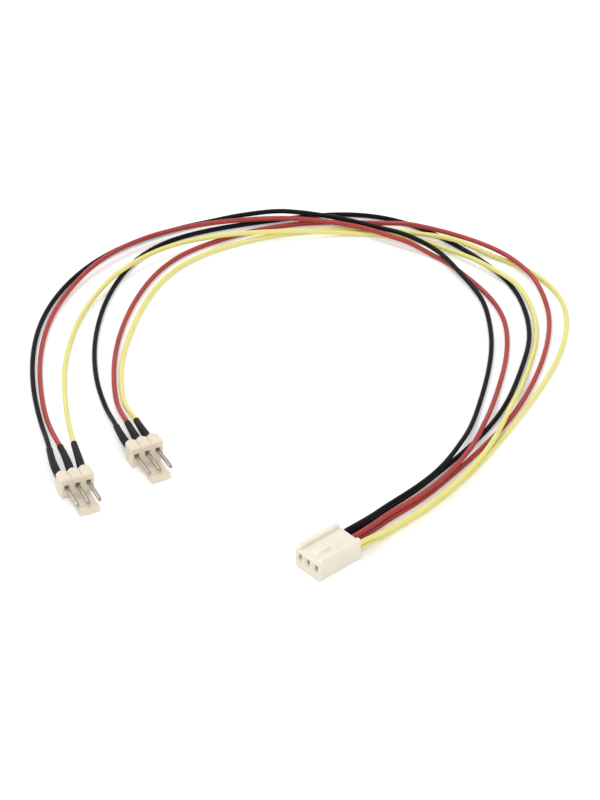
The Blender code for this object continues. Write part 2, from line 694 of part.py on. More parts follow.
def wire(name, line, sleeve_length, parts, material):
    """The insulated wire, from behind its pin's tail to inside the terminal's barrel."""
    in_sleeve = stretch(line, PIN_TAIL, sleeve_length, SLEEVE_POINTS)
    free = stretch(line, sleeve_length, None, WIRE_POINTS - SLEEVE_POINTS + 1)
    points = np.vstack((in_sleeve, free[1:]))
    tube = tube_curve(name, points, WIRE_RADIUS, WIRE_BEVEL_RESOLUTION, parts)
    tube.data.materials.append(material)


def build():
    clear_scene()
    parts = make_collection("fan_splitter_cable")
    cutters = make_collection("cutters")
    ivory = make_material("ivory nylon", (0.83, 0.78, 0.68), 0.45)
    beige = make_material("beige nylon", (0.78, 0.70, 0.58), 0.45)
    tin = make_material("tinned brass", (0.62, 0.61, 0.58), 0.3, 1.0)
    sleeve_black = make_material("shrunk sleeve", (0.02, 0.02, 0.02), 0.6)
    insulation = {
        "black": make_material("black insulation", (0.02, 0.02, 0.02), 0.4),
        "red": make_material("red insulation", (0.62, 0.05, 0.04), 0.4),
        "yellow": make_material("yellow insulation", (0.90, 0.75, 0.03), 0.4),
    }
    socket_frame = connector_frame("socket_frame", SOCKET_PLACE, SOCKET_TURN, parts)
    socket_housing(socket_frame, parts, cutters, ivory)
    for number, x in enumerate(ROW, 1):
        socket_terminal(number, x, socket_frame, parts, cutters, tin)
    plugs = (("left", LEFT_PLUG_PLACE, LEFT_PLUG_TURN), ("right", RIGHT_PLUG_PLACE, RIGHT_PLUG_TURN))
    for side, place, turn in plugs:
        frame = connector_frame(f"plug_{side}_frame", place, turn, parts)
        plug_body(f"plug_{side}_body", frame, parts, cutters, beige)
        for number, (x, colour) in enumerate(zip(ROW, COLOURS), 1):
            plug_pin(f"plug_{side}_pin_{number}", x, frame, parts, tin)
            length = SLEEVE_LENGTHS[side]
            line = smooth_line(route_points(f"{colour}_{side}", place, turn, x, side == "left"))
            sleeve(f"plug_{side}_sleeve_{number}", line, length, parts, cutters, sleeve_black)
            wire(f"wire_{colour}_{side}", line, length, parts, insulation[colour])
    cutters.hide_render = True


build()
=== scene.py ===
"""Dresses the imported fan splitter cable: a moulded socket, pin plugs, shrunk sleeves and wires.

The row frame is in metres. Each connector is drawn in millimetres in its own frame, with X along
its row of contacts, Y from the mating end towards the wires and Z up, and is then laid in place.
"""

from __future__ import annotations

import json
import logging
import math
from dataclasses import dataclass, field
from enum import Enum
from typing import Callable, Sequence

import bmesh
import bpy
import numpy as np
from mathutils import Matrix, Vector

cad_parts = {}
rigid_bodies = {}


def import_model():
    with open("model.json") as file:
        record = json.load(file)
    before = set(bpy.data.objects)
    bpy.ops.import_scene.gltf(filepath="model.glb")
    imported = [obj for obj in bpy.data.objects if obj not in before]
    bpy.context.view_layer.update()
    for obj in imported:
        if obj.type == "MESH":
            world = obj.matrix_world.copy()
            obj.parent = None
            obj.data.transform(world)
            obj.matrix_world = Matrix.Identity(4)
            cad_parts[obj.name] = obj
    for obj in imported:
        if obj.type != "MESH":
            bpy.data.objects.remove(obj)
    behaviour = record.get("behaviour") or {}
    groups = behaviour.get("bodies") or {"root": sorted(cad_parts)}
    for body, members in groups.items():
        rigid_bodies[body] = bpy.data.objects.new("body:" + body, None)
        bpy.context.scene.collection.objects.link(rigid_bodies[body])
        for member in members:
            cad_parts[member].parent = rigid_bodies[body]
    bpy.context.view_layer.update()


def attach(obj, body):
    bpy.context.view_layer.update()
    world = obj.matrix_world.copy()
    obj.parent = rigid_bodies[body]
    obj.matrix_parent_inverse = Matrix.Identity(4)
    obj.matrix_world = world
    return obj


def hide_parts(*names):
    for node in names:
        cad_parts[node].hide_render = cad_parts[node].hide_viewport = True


LOG = logging.getLogger("fan_splitter_cable")

MM = 0.001
BODY = "root"
PLAN_ORIGIN = (-21.23, -36.43)
LOOP_CENTRE = (-3.0, 12.0)
FIRST_RAY = 200
RAY_STEP = -10
PITCH = 2.54
CIRCUITS = 3
PIN_HEIGHT = 2.8
PIN_TAIL = 2.1
WHITE = (1.0, 1.0, 1.0)

Colour = tuple[float, float, float]
Socket = bpy.types.NodeSocket


class Side(Enum):
    """The two pin plugs, named by where they lie."""

    LEFT = "left"
    RIGHT = "right"


class Circuit(Enum):
    """The three circuits, in their order along the row of contacts."""

    BLACK = "black"
    RED = "red"
    YELLOW = "yellow"

    @property
    def number(self) -> int:
        """The circuit's place along the row, from 1."""
        return list(Circuit).index(self) + 1

    @property
    def offset(self) -> float:
        """The circuit's distance from the middle of the row, in millimetres."""
        return (self.number - (CIRCUITS + 1) / 2) * PITCH


@dataclass(frozen=True)
class Route:
    """Where one wire runs, in millimetres.

    Its tail is two points in its plug's frame: just behind the block, and at the end of the sleeve.
    It then crosses rays from the loop's centre, 10 degrees apart and clockwise from above, each at
    its own distance from the centre and lift off the surface.
    """

    tail: tuple[tuple[float, float, float], ...]
    radii: tuple[float, ...]
    lifts: tuple[float, ...]


ROUTES = {
    (Circuit.BLACK, Side.LEFT): Route(
        ((-2.4, 7.2, 2.8), (-0.6, 15.8, 2.1)),
        (57.6, 56.7, 56.6, 57.1, 57.8, 58.4, 58.8, 58.7, 58.2, 57.9, 57.8, 57.2, 56.0, 55.1,
         54.4, 53.9, 51.6, 50.6, 48.5, 46.6, 45.2, 44.6, 45.0, 46.5, 48.6, 51.3, 53.8, 57.5),
        (0.0, 0.0, 0.0, 0.0, 0.0, 0.0, 0.0, 0.0, 0.0, 0.0, 0.6, 1.4, 1.4, 1.4,
         2.0, 1.4, 1.2, 0.3, 0.0, 0.0, 0.0, 0.0, 0.0, 0.4, 1.1, 1.4, 1.4, 1.5),
    ),
    (Circuit.RED, Side.LEFT): Route(
        ((0.7, 7.2, 2.8), (1.7, 15.0, 2.1)),
        (56.1, 55.1, 54.9, 55.3, 56.0, 56.6, 57.1, 57.2, 56.6, 55.5, 54.7, 54.4, 53.9, 53.5,
         52.9, 53.5, 52.9, 52.6, 51.9, 50.2, 48.6, 47.7, 48.0, 49.4, 51.5, 53.8, 56.4, 59.9),
        (0.0, 0.0, 0.0, 0.0, 0.1, 0.5, 1.1, 1.3, 1.3, 1.4, 1.4, 1.4, 1.4, 1.4,
         1.4, 0.0, 0.0, 0.0, 0.0, 0.0, 0.0, 0.0, 0.6, 1.4, 1.4, 1.4, 1.4, 1.5),
    ),
    (Circuit.YELLOW, Side.LEFT): Route(
        ((3.3, 7.2, 2.8), (4.8, 14.5, 2.1)),
        (51.4, 49.9, 49.3, 49.2, 49.7, 50.2, 50.6, 51.0, 50.9, 50.1, 49.4, 49.4, 50.9, 53.4,
         56.1, 57.0, 57.7, 59.4, 59.0, 56.8, 54.1, 52.6, 52.2, 53.2, 54.9, 57.1, 60.2, 64.0),
        (0.0, 0.0, 0.0, 0.0, 0.1, 0.6, 1.4, 1.4, 1.4, 1.4, 1.4, 1.4, 0.6, 0.0,
         0.0, 0.4, 1.4, 1.4, 0.4, 0.0, 0.0, 0.5, 1.4, 1.4, 1.4, 1.4, 1.4, 1.5),
    ),
    (Circuit.BLACK, Side.RIGHT): Route(
        ((-2.5, 7.0, 2.8), (-1.7, 12.5, 2.2)),
        (42.6, 42.4, 42.7, 43.6, 45.1, 47.3, 50.0, 52.9, 54.4, 54.6, 54.9, 56.2, 58.7, 60.6,
         60.8, 60.0, 59.6, 59.1, 57.4, 55.2, 52.6, 51.0, 50.2, 49.7, 49.8, 50.9, 53.3, 57.0),
        (0.0, 0.0, 0.0, 0.0, 0.0, 0.0, 0.0, 0.0, 0.0, 0.0, 0.0, 0.0, 0.0, 0.0,
         0.0, 0.0, 0.0, 0.0, 0.0, 0.0, 0.0, 0.0, 0.0, 0.0, 0.0, 0.0, 0.0, 0.1),
    ),
    (Circuit.RED, Side.RIGHT): Route(
        ((0.2, 7.0, 2.8), (1.0, 12.6, 2.2)),
        (39.8, 38.8, 38.4, 38.6, 39.4, 40.9, 43.1, 45.8, 48.2, 49.8, 51.6, 53.6, 55.6, 57.6,
         59.6, 61.8, 63.9, 64.4, 62.7, 59.6, 56.6, 54.4, 53.0, 52.2, 52.4, 53.8, 56.4, 60.1),
        (0.0, 0.0, 0.0, 0.0, 0.0, 0.0, 0.0, 0.0, 0.0, 0.0, 0.0, 0.0, 0.0, 0.3,
         1.4, 1.4, 1.4, 1.1, 0.0, 0.0, 0.0, 0.0, 0.0, 0.0, 0.0, 0.0, 0.0, 0.1),
    ),
    (Circuit.YELLOW, Side.RIGHT): Route(
        ((2.5, 7.0, 2.8), (3.1, 12.4, 2.2)),
        (38.2, 37.2, 36.7, 36.6, 37.1, 38.4, 40.5, 43.0, 45.2, 46.8, 48.4, 50.4, 52.6, 55.0,
         57.6, 59.9, 63.2, 66.4, 66.6, 63.5, 59.7, 56.5, 54.6, 54.1, 55.0, 56.8, 59.6, 63.4),
        (0.0, 0.0, 0.0, 0.0, 0.0, 0.0, 0.0, 0.0, 0.0, 0.0, 0.0, 0.0, 0.0, 0.0,
         0.5, 1.4, 0.0, 0.0, 0.0, 0.0, 0.0, 0.0, 0.0, 0.0, 0.0, 0.0, 0.0, 0.1),
    ),
}


@dataclass(frozen=True)
class Berth:
    """Where a connector lies on the plan, in millimetres and degrees."""

    x: float
    y: float
    turn: float

    def matrix(self) -> Matrix:
        """The row-frame place of geometry drawn in the connector's own millimetres."""
        shift = Matrix.Translation(((self.x - PLAN_ORIGIN[0]) * MM, (self.y - PLAN_ORIGIN[1]) * MM, 0.0))
        return shift @ Matrix.Rotation(math.radians(self.turn), 4, "Z") @ Matrix.Scale(MM, 4)

    def point(self, x: float, y: float, z: float) -> Vector:
        """A point of the connector's own frame, in the row frame."""
        return self.matrix() @ Vector((x, y, z))


SOCKET_BERTH = Berth(1.5, -60.3, -48.4)
PLUG_BERTHS = {Side.LEFT: Berth(-47.8, -33.7, 23.5), Side.RIGHT: Berth(-33.1, -22.6, 26.5)}
SLEEVE_LENGTHS = {Side.LEFT: 11.6, Side.RIGHT: 9.0}


def plan_point(x: float, y: float, z: float) -> Vector:
    """A point of the plan, in millimetres, in the row frame."""
    return Vector((x - PLAN_ORIGIN[0], y - PLAN_ORIGIN[1], z)) * MM


def link(name: str, data: bpy.types.ID) -> bpy.types.Object:
    """Puts an object with the given data in the scene."""
    obj = bpy.data.objects.new(name, data)
    bpy.context.scene.collection.objects.link(obj)
    return obj


class TreeBuilder:
    """Adds nodes and links to one shader or geometry node tree."""

    def __init__(self, tree: bpy.types.NodeTree) -> None:
        """Keeps the tree and empties it."""
        self.tree = tree
        tree.nodes.clear()

    def fill(self, node: bpy.types.Node, inputs: dict) -> None:
        """Fills or links a node's inputs.

        Args:
            node: The node.
            inputs: Values, or sockets to link, by the input's name or index.
        """
        for key, value in inputs.items():
            target = node.inputs[key]
            if isinstance(value, Socket):
                self.tree.links.new(value, target)
            else:
                target.default_value = (*value, 1.0) if target.type == "RGBA" else value

    def node(self, kind: str, inputs: dict | None = None, **settings) -> bpy.types.Node:
        """Adds a node.

        Args:
            kind: The node's type name.
            inputs: As fill takes them.
            **settings: Properties of the node itself.

        Returns:
            The new node.
        """
        node = self.tree.nodes.new(kind)
        for key, value in settings.items():
            setattr(node, key, value)
        self.fill(node, inputs or {})
        return node

    def out(self, kind: str, inputs: dict | None = None, output: int | str = 0, **settings) -> Socket:
        """Adds a node as node does, and gives one of its outputs."""
        return self.node(kind, inputs, **settings).outputs[output]

    def maths(self, operation: str, *values: float | Socket) -> Socket:
        """The result of one math node."""
        return self.out("ShaderNodeMath", dict(enumerate(values)), operation=operation)

    def vector(self, *values: float | Socket) -> Socket:
        """A vector of up to three numbers or sockets."""
        return self.out("ShaderNodeCombineXYZ", dict(enumerate(values)))

    def span(self, value: Socket, low: float = 0.0, high: float = 1.0,
             start: float | Socket = 0.0, stop: float | Socket = 1.0) -> Socket:
        """Lays a value's way from one end to the other over a new range.

        Args:
            value: The value.
            low: What it gives at the start.
            high: What it gives at the stop.
            start: The value's start.
            stop: The value's stop.

        Returns:
            The new value.
        """
        return self.out("ShaderNodeMapRange", {
            "Value": value, "From Min": start, "From Max": stop, "To Min": low, "To Max": high,
        })


Given = bpy.types.bpy_prop_collection
Fill = Callable[[TreeBuilder, Given], Socket]
KINDS = {bool: "NodeSocketBool", int: "NodeSocketInt", float: "NodeSocketFloat"}


def group_tree(name: str, kind: str, inputs: dict, gives: str, fill: Fill) -> bpy.types.NodeTree:
    """Makes a node group with one output.

    Args:
        name: The group's name.
        kind: Its tree type.
        inputs: Each input's default number, or its socket type where it has no default.
        gives: The output's socket type.
        fill: Adds the nodes, given the builder and the inputs, and returns what goes out.

    Returns:
        The group.
    """
    tree = bpy.data.node_groups.new(name, kind)
    for title, value in inputs.items():
        typed = isinstance(value, str)
        socket = tree.interface.new_socket(
            name=title, in_out="INPUT", socket_type=value if typed else KINDS[type(value)])
        if not typed:
            socket.default_value = value
    tree.interface.new_socket(name="Result", in_out="OUTPUT", socket_type=gives)
    build = TreeBuilder(tree)
    result = fill(build, build.node("NodeGroupInput").outputs)
    build.node("NodeGroupOutput", {0: result})
    return tree


class ShaderKit:
    """The shader effects that several finishes share, each built once as a node group."""

    def __init__(self) -> None:
        """Builds the groups."""
        self.mottle = self._group("Cloudy mottle", self._mottle, Scale=300.0, Low=0.35, High=0.65)
        self.grain = self._group("Mould grain", self._grain, Scale=9000.0, Pits=0.35)
        self.drawn = self._group("Drawn lines", self._drawn, Along=0.2, Across=12.0)
        self.dust = self._group("Fine specks", self._dust, Scale=2500.0, Spread=0.2)

    @staticmethod
    def _group(name: str, fill: Fill, **numbers: float) -> bpy.types.NodeTree:
        """A shader group that makes one number from a vector and numbers."""
        return group_tree(name, "ShaderNodeTree", {"Vector": "NodeSocketVector", **numbers},
                          "NodeSocketFloat", fill)

    @staticmethod
    def _noise(build: TreeBuilder, given: Given, share: float = 1.0, **more: float) -> Socket:
        """Noise at a share of the group's scale."""
        scale = given["Scale"] if share == 1.0 else build.maths("MULTIPLY", given["Scale"], share)
        return build.out("ShaderNodeTexNoise", {"Vector": given["Vector"], "Scale": scale, **more})

    @staticmethod
    def _cells(build: TreeBuilder, given: Given, share: float = 1.0) -> Socket:
        """The distance to scattered points at a share of the group's scale."""
        scale = given["Scale"] if share == 1.0 else build.maths("MULTIPLY", given["Scale"], share)
        return build.out("ShaderNodeTexVoronoi", {"Vector": given["Vector"], "Scale": scale}, "Distance")

    def _mottle(self, build: TreeBuilder, given: Given) -> Socket:
        """Slow cloudy variation, for tint and gloss."""
        noise = self._noise(build, given, Detail=4.0, Roughness=0.55)
        return build.span(noise, start=given["Low"], stop=given["High"])

    def _grain(self, build: TreeBuilder, given: Given) -> Socket:
        """The fine spark-eroded texture that a mould leaves on plastic."""
        pits = build.maths("MULTIPLY", self._cells(build, given, 0.6), given["Pits"])
        return build.maths("ADD", self._noise(build, given, Detail=3.0), pits)

    @staticmethod
    def _drawn(build: TreeBuilder, given: Given) -> Socket:
        """Fine lines along a drawn or rolled surface, from a vector that runs along it."""
        stretch = build.vector(given["Along"], given["Across"], given["Across"])
        scaled = build.out("ShaderNodeVectorMath", {0: given["Vector"], 1: stretch}, operation="MULTIPLY")
        return build.out("ShaderNodeTexNoise", {
            "Vector": scaled, "Scale": 1.0, "Detail": 3.0, "Roughness": 0.6,
        })

    def _dust(self, build: TreeBuilder, given: Given) -> Socket:
        """Sparse small specks, as dust or rubbed spots."""
        speck = build.span(self._cells(build, given), start=given["Spread"], stop=0.02)
        patch = build.span(self._noise(build, given, 0.21), start=0.5, stop=0.66)
        return build.maths("MULTIPLY", speck, patch)


class Surface:
    """One material in the making: its principled shader and what is laid on it."""

    MIX_MASK, MIX_LOW, MIX_HIGH = 0, 6, 7
    MIX_COLOUR = 2

    def __init__(self, name: str, kit: ShaderKit, run: str = "") -> None:
        """Starts the material.

        Args:
            name: Its name.
            kit: The shared effects.
            run: The attribute that drawn lines follow, if it has any.
        """
        self.material = bpy.data.materials.new(name)
        self.material.use_nodes = True
        self.kit = kit
        self.build = TreeBuilder(self.material.node_tree)
        self.shader = self.build.node("ShaderNodeBsdfPrincipled")
        self.build.node("ShaderNodeOutputMaterial", {"Surface": self.shader.outputs[0]})
        self.place = self.build.out("ShaderNodeTexCoord", output="Object")
        if run:
            self.run = self.build.out("ShaderNodeAttribute", output="Vector", attribute_name=run)

    def effect(self, name: str, **numbers: float) -> Socket:
        """Lays a shared effect: drawn lines along the run, the others by Object coordinates.

        Args:
            **numbers: Its inputs.

        Returns:
            What it gives.
        """
        vector = self.run if name == "drawn" else self.place
        return self.build.out("ShaderNodeGroup", {"Vector": vector, **numbers},
                              node_tree=getattr(self.kit, name))

    def blend(self, mask: Socket, low: Colour | Socket, high: Colour | Socket, share: float = 1.0) -> Socket:
        """A colour between two.

        Args:
            mask: 0 gives the low one.
            low: The first colour.
            high: The second colour.
            share: How much of the second one a mask of 1 gives.

        Returns:
            The mixed colour.
        """
        if share < 1.0:
            mask = self.build.maths("MULTIPLY", mask, share)
        inputs = {self.MIX_MASK: mask, self.MIX_LOW: low, self.MIX_HIGH: high}
        return self.build.out("ShaderNodeMix", inputs, self.MIX_COLOUR, data_type="RGBA")

    def bump(self, height: Socket, distance: float, strength: float, below: Socket | None = None) -> Socket:
        """A bumped normal.

        Args:
            height: The height, from 0 to 1.
            distance: The bump's depth in metres.
            strength: How strongly it shows, from 0 to 1.
            below: A normal to add it to.

        Returns:
            The normal.
        """
        inputs = {"Height": height, "Distance": distance, "Strength": strength}
        if below is not None:
            inputs["Normal"] = below
        return self.build.out("ShaderNodeBump", inputs)

    def done(self, inputs: dict) -> bpy.types.Material:
        """Fills or links the shader's inputs, and gives the material."""
        self.build.fill(self.shader, inputs)
        return self.material


@dataclass(frozen=True)
class Finish:
    """A finish's name and the two colours between which it drifts."""

    name: str
    colour: Colour
    deep: Colour


@dataclass(frozen=True)
class NylonFinish(Finish):
    """Moulded unfilled nylon: creamy, slightly see-through, with a soft sheen."""

    glow: float = 0.22
    depth: float = 0.0011

    def material(self, kit: ShaderKit) -> bpy.types.Material:
        """Builds the material from the shared effects."""
        surface = Surface(self.name, kit)
        flow = surface.effect("mottle", Scale=260.0, Low=0.3, High=0.7)
        cloud = surface.effect("mottle", Scale=1100.0, Low=0.4, High=0.62)
        grain = surface.effect("grain", Scale=8500.0, Pits=0.4)
        paler = tuple(min(1.0, value * 1.05) for value in self.colour)
        tint = surface.blend(flow, self.colour, self.deep)
        return surface.done({
            "Base Color": surface.blend(cloud, tint, paler, share=0.45),
            "Roughness": surface.build.span(cloud, 0.36, 0.47),
            "Normal": surface.bump(grain, 0.00001, 0.35, surface.bump(flow, 0.00006, 0.35)),
            "IOR": 1.53,
            "Subsurface Weight": self.glow,
            "Subsurface Radius": (1.0, 0.82, 0.6),
            "Subsurface Scale": self.depth,
        })


@dataclass(frozen=True)
class TinFinish(Finish):
    """Tin plate over brass, with drawn lines and a brassy cast where it is thin."""

    def material(self, kit: ShaderKit) -> bpy.types.Material:
        """Builds the material from the shared effects."""
        surface = Surface(self.name, kit, "drawn_run")
        thin = surface.effect("mottle", Scale=420.0, Low=0.4, High=0.8)
        rubbed = surface.effect("mottle", Scale=1600.0, Low=0.35, High=0.7)
        lines = surface.effect("drawn", Along=0.35, Across=9.0)
        return surface.done({
            "Base Color": surface.blend(thin, self.colour, self.deep),
            "Roughness": surface.build.span(rubbed, 0.26, 0.40),
            "Normal": surface.bump(lines, 0.000012, 0.5),
            "Metallic": 1.0,
        })


@dataclass(frozen=True)
class SleeveFinish(Finish):
    """Shrunk polymer sleeve: matte black with a grey bloom and faint wrinkles."""

    sheen: float = 0.16
    dust: Colour = (0.16, 0.155, 0.145)

    def material(self, kit: ShaderKit) -> bpy.types.Material:
        """Builds the material from the shared effects."""
        surface = Surface(self.name, kit)
        bloom = surface.effect("mottle", Scale=900.0, Low=0.38, High=0.68)
        specks = surface.effect("dust", Scale=2600.0, Spread=0.16)
        wrinkle = surface.effect("grain", Scale=2400.0, Pits=0.5)
        fine = surface.effect("grain", Scale=12000.0, Pits=0.2)
        base = surface.blend(bloom, self.colour, self.deep)
        return surface.done({
            "Base Color": surface.blend(specks, base, self.dust, share=0.2),
            "Roughness": surface.build.span(bloom, 0.44, 0.62),
            "Normal": surface.bump(fine, 0.00001, 0.3, surface.bump(wrinkle, 0.00004, 0.35)),
            "Specular IOR Level": self.sheen,
        })


@dataclass(frozen=True)
class InsulationFinish(Finish):
    """Extruded wire insulation: coloured through, with a soft sheen and faint lines along it."""

    smooth: float = 0.25
    rough_by: float = 0.12
    sheen: float = 0.3
    glow: float = 0.0
    dust: Colour = (0.55, 0.53, 0.50)
    dusty: float = 0.05

    def material(self, kit: ShaderKit) -> bpy.types.Material:
        """Builds the material from the shared effects."""
        surface = Surface(self.name, kit, "wire_run")
        drift = surface.effect("mottle", Scale=110.0, Low=0.35, High=0.65)
        gloss = surface.effect("drawn", Along=0.15, Across=1.5)
        specks = surface.effect("dust", Scale=1100.0, Spread=0.1)
        lines = surface.effect("drawn", Along=0.04, Across=4.0)
        grain = surface.effect("grain", Scale=1500.0, Pits=0.0)
        base = surface.blend(drift, self.colour, self.deep)
        return surface.done({
            "Base Color": surface.blend(specks, base, self.dust, share=self.dusty),
            "Roughness": surface.build.span(gloss, self.smooth, self.smooth + self.rough_by),
            "Normal": surface.bump(grain, 0.000004, 0.08, surface.bump(lines, 0.00001, 0.2)),
            "IOR": 1.54,
            "Specular IOR Level": self.sheen,
            "Subsurface Weight": self.glow,
            "Subsurface Radius": (1.0, 0.7, 0.4),
            "Subsurface Scale": 0.0004,
        })


# The finish of each material slot of the record.
FINISHES = {
    "black_insulation": InsulationFinish(
        "black insulation", (0.004, 0.0035, 0.0042), (0.007, 0.0065, 0.0075), sheen=0.09),
    "red_insulation": InsulationFinish(
        "red insulation", (0.43, 0.048, 0.040), (0.36, 0.038, 0.034), glow=0.15),
    "yellow_insulation": InsulationFinish(
        "yellow insulation", (0.80, 0.75, 0.27), (0.77, 0.71, 0.22), glow=0.2, dusty=0.03),
    "shrunk_sleeve": SleeveFinish("shrunk sleeve", (0.006, 0.006, 0.0065), (0.016, 0.016, 0.017)),
    "ivory_nylon": NylonFinish("ivory nylon", (0.83, 0.765, 0.65), (0.79, 0.72, 0.60)),
    "beige_nylon": NylonFinish("beige nylon", (0.785, 0.69, 0.55), (0.74, 0.64, 0.50), glow=0.3),
    "tinned_brass": TinFinish("tin plate", (0.35, 0.345, 0.33), (0.32, 0.30, 0.255)),
}


class GeometryKit:
    """The geometry node trees for what repeats along a row or follows a path."""

    def __init__(self) -> None:
        """Builds the trees."""
        self.tube = self._group("Swept tube", self._tube, {
            "Radius": 0.00055, "Sides": 16, "Ripple": 0.0, "Ripple Scale": 300.0, "Seed": 0.0,
            "Closed Ends": True,
        })
        self.row = self._group("Row of contacts", self._row, {"Count": CIRCUITS, "Pitch": PITCH})

    @staticmethod
    def _group(name: str, fill: Fill, inputs: dict) -> bpy.types.NodeTree:
        """A modifier's tree that ends in Realize Instances and Set Material.

        Args:
            name: The tree's name.
            fill: Adds the nodes before these two.
            inputs: Its numbers, besides the geometry and its cover.

        Returns:
            The tree.
        """
        def covered(build: TreeBuilder, given: Given) -> Socket:
            """The filled geometry, realised and with its material."""
            real = build.out("GeometryNodeRealizeInstances", {"Geometry": fill(build, given)})
            return build.out("GeometryNodeSetMaterial", {"Geometry": real, "Material": given["Cover"]})

        geometry = "NodeSocketGeometry"
        inputs = {"Geometry": geometry, **inputs, "Cover": "NodeSocketMaterial"}
        tree = group_tree(name, "GeometryNodeTree", inputs, geometry, covered)
        tree.is_modifier = True
        return tree

    @staticmethod
    def _store(build: TreeBuilder, geometry: Socket, name: str, value: Socket, kind: str = "FLOAT") -> Socket:
        """Geometry with a value kept at its points under a name."""
        return build.out("GeometryNodeStoreNamedAttribute", {
            "Geometry": geometry, "Name": name, "Value": value,
        }, data_type=kind, domain="POINT")

    def _tube(self, build: TreeBuilder, given: Given) -> Socket:
        """A round tube along a curve, scaled by the curve's own radius, with a gentle ripple.

        Args:
            build: The tree's builder.
            given: The tree's inputs.

        Returns:
            The tube, with its length in millimetres and its turn stored as wire_run.
        """
        along = build.out("GeometryNodeSplineParameter", output="Length")
        around = build.out("GeometryNodeSplineParameter", output="Factor")
        circle = build.out("GeometryNodeCurvePrimitiveCircle", {
            "Resolution": given["Sides"], "Radius": given["Radius"],
        })
        sweep = build.out("GeometryNodeCurveToMesh", {
            "Curve": self._store(build, given["Geometry"], "run", along),
            "Profile Curve": self._store(build, circle, "turn", around),
            "Scale": build.out("GeometryNodeInputRadius"), "Fill Caps": given["Closed Ends"],
        })
        run, turn = (build.out("GeometryNodeInputNamedAttribute", {"Name": name}, data_type="FLOAT")
                     for name in ("run", "turn"))
        angle = build.maths("MULTIPLY", turn, 2 * math.pi)
        place = build.vector(build.maths("MULTIPLY", run, 1 / MM), build.maths("COSINE", angle),
                             build.maths("SINE", angle))
        noise = build.out("ShaderNodeTexNoise", {
            "W": given["Seed"], "Scale": given["Ripple Scale"], "Detail": 2.0,
        }, noise_dimensions="4D")
        swell = build.maths("MULTIPLY", build.maths("SUBTRACT", noise, 0.5), given["Ripple"])
        return build.out("GeometryNodeSetPosition", {
            "Geometry": self._store(build, sweep, "wire_run", place, "FLOAT_VECTOR"),
            "Offset": build.out("ShaderNodeVectorMath", {
                0: build.out("GeometryNodeInputNormal"), "Scale": swell,
            }, operation="SCALE"),
        })

    @staticmethod
    def _row(build: TreeBuilder, given: Given) -> Socket:
        """Copies of a shape along the row of contacts, centred on the middle one."""
        gaps = build.maths("SUBTRACT", given["Count"], 1.0)
        half = build.maths("MULTIPLY", build.maths("MULTIPLY", gaps, given["Pitch"]), -0.5)
        line = build.out("GeometryNodeMeshLine", {
            "Count": given["Count"], "Start Location": build.vector(half),
            "Offset": build.vector(given["Pitch"]),
        })
        return build.out("GeometryNodeInstanceOnPoints", {"Points": line, "Instance": given["Geometry"]})


class Workshop:
    """The geometry trees, and the material of each slot."""

    def __init__(self) -> None:
        """Builds them all."""
        kit = ShaderKit()
        self.trees = GeometryKit()
        self.covers = {slot: finish.material(kit) for slot, finish in FINISHES.items()}


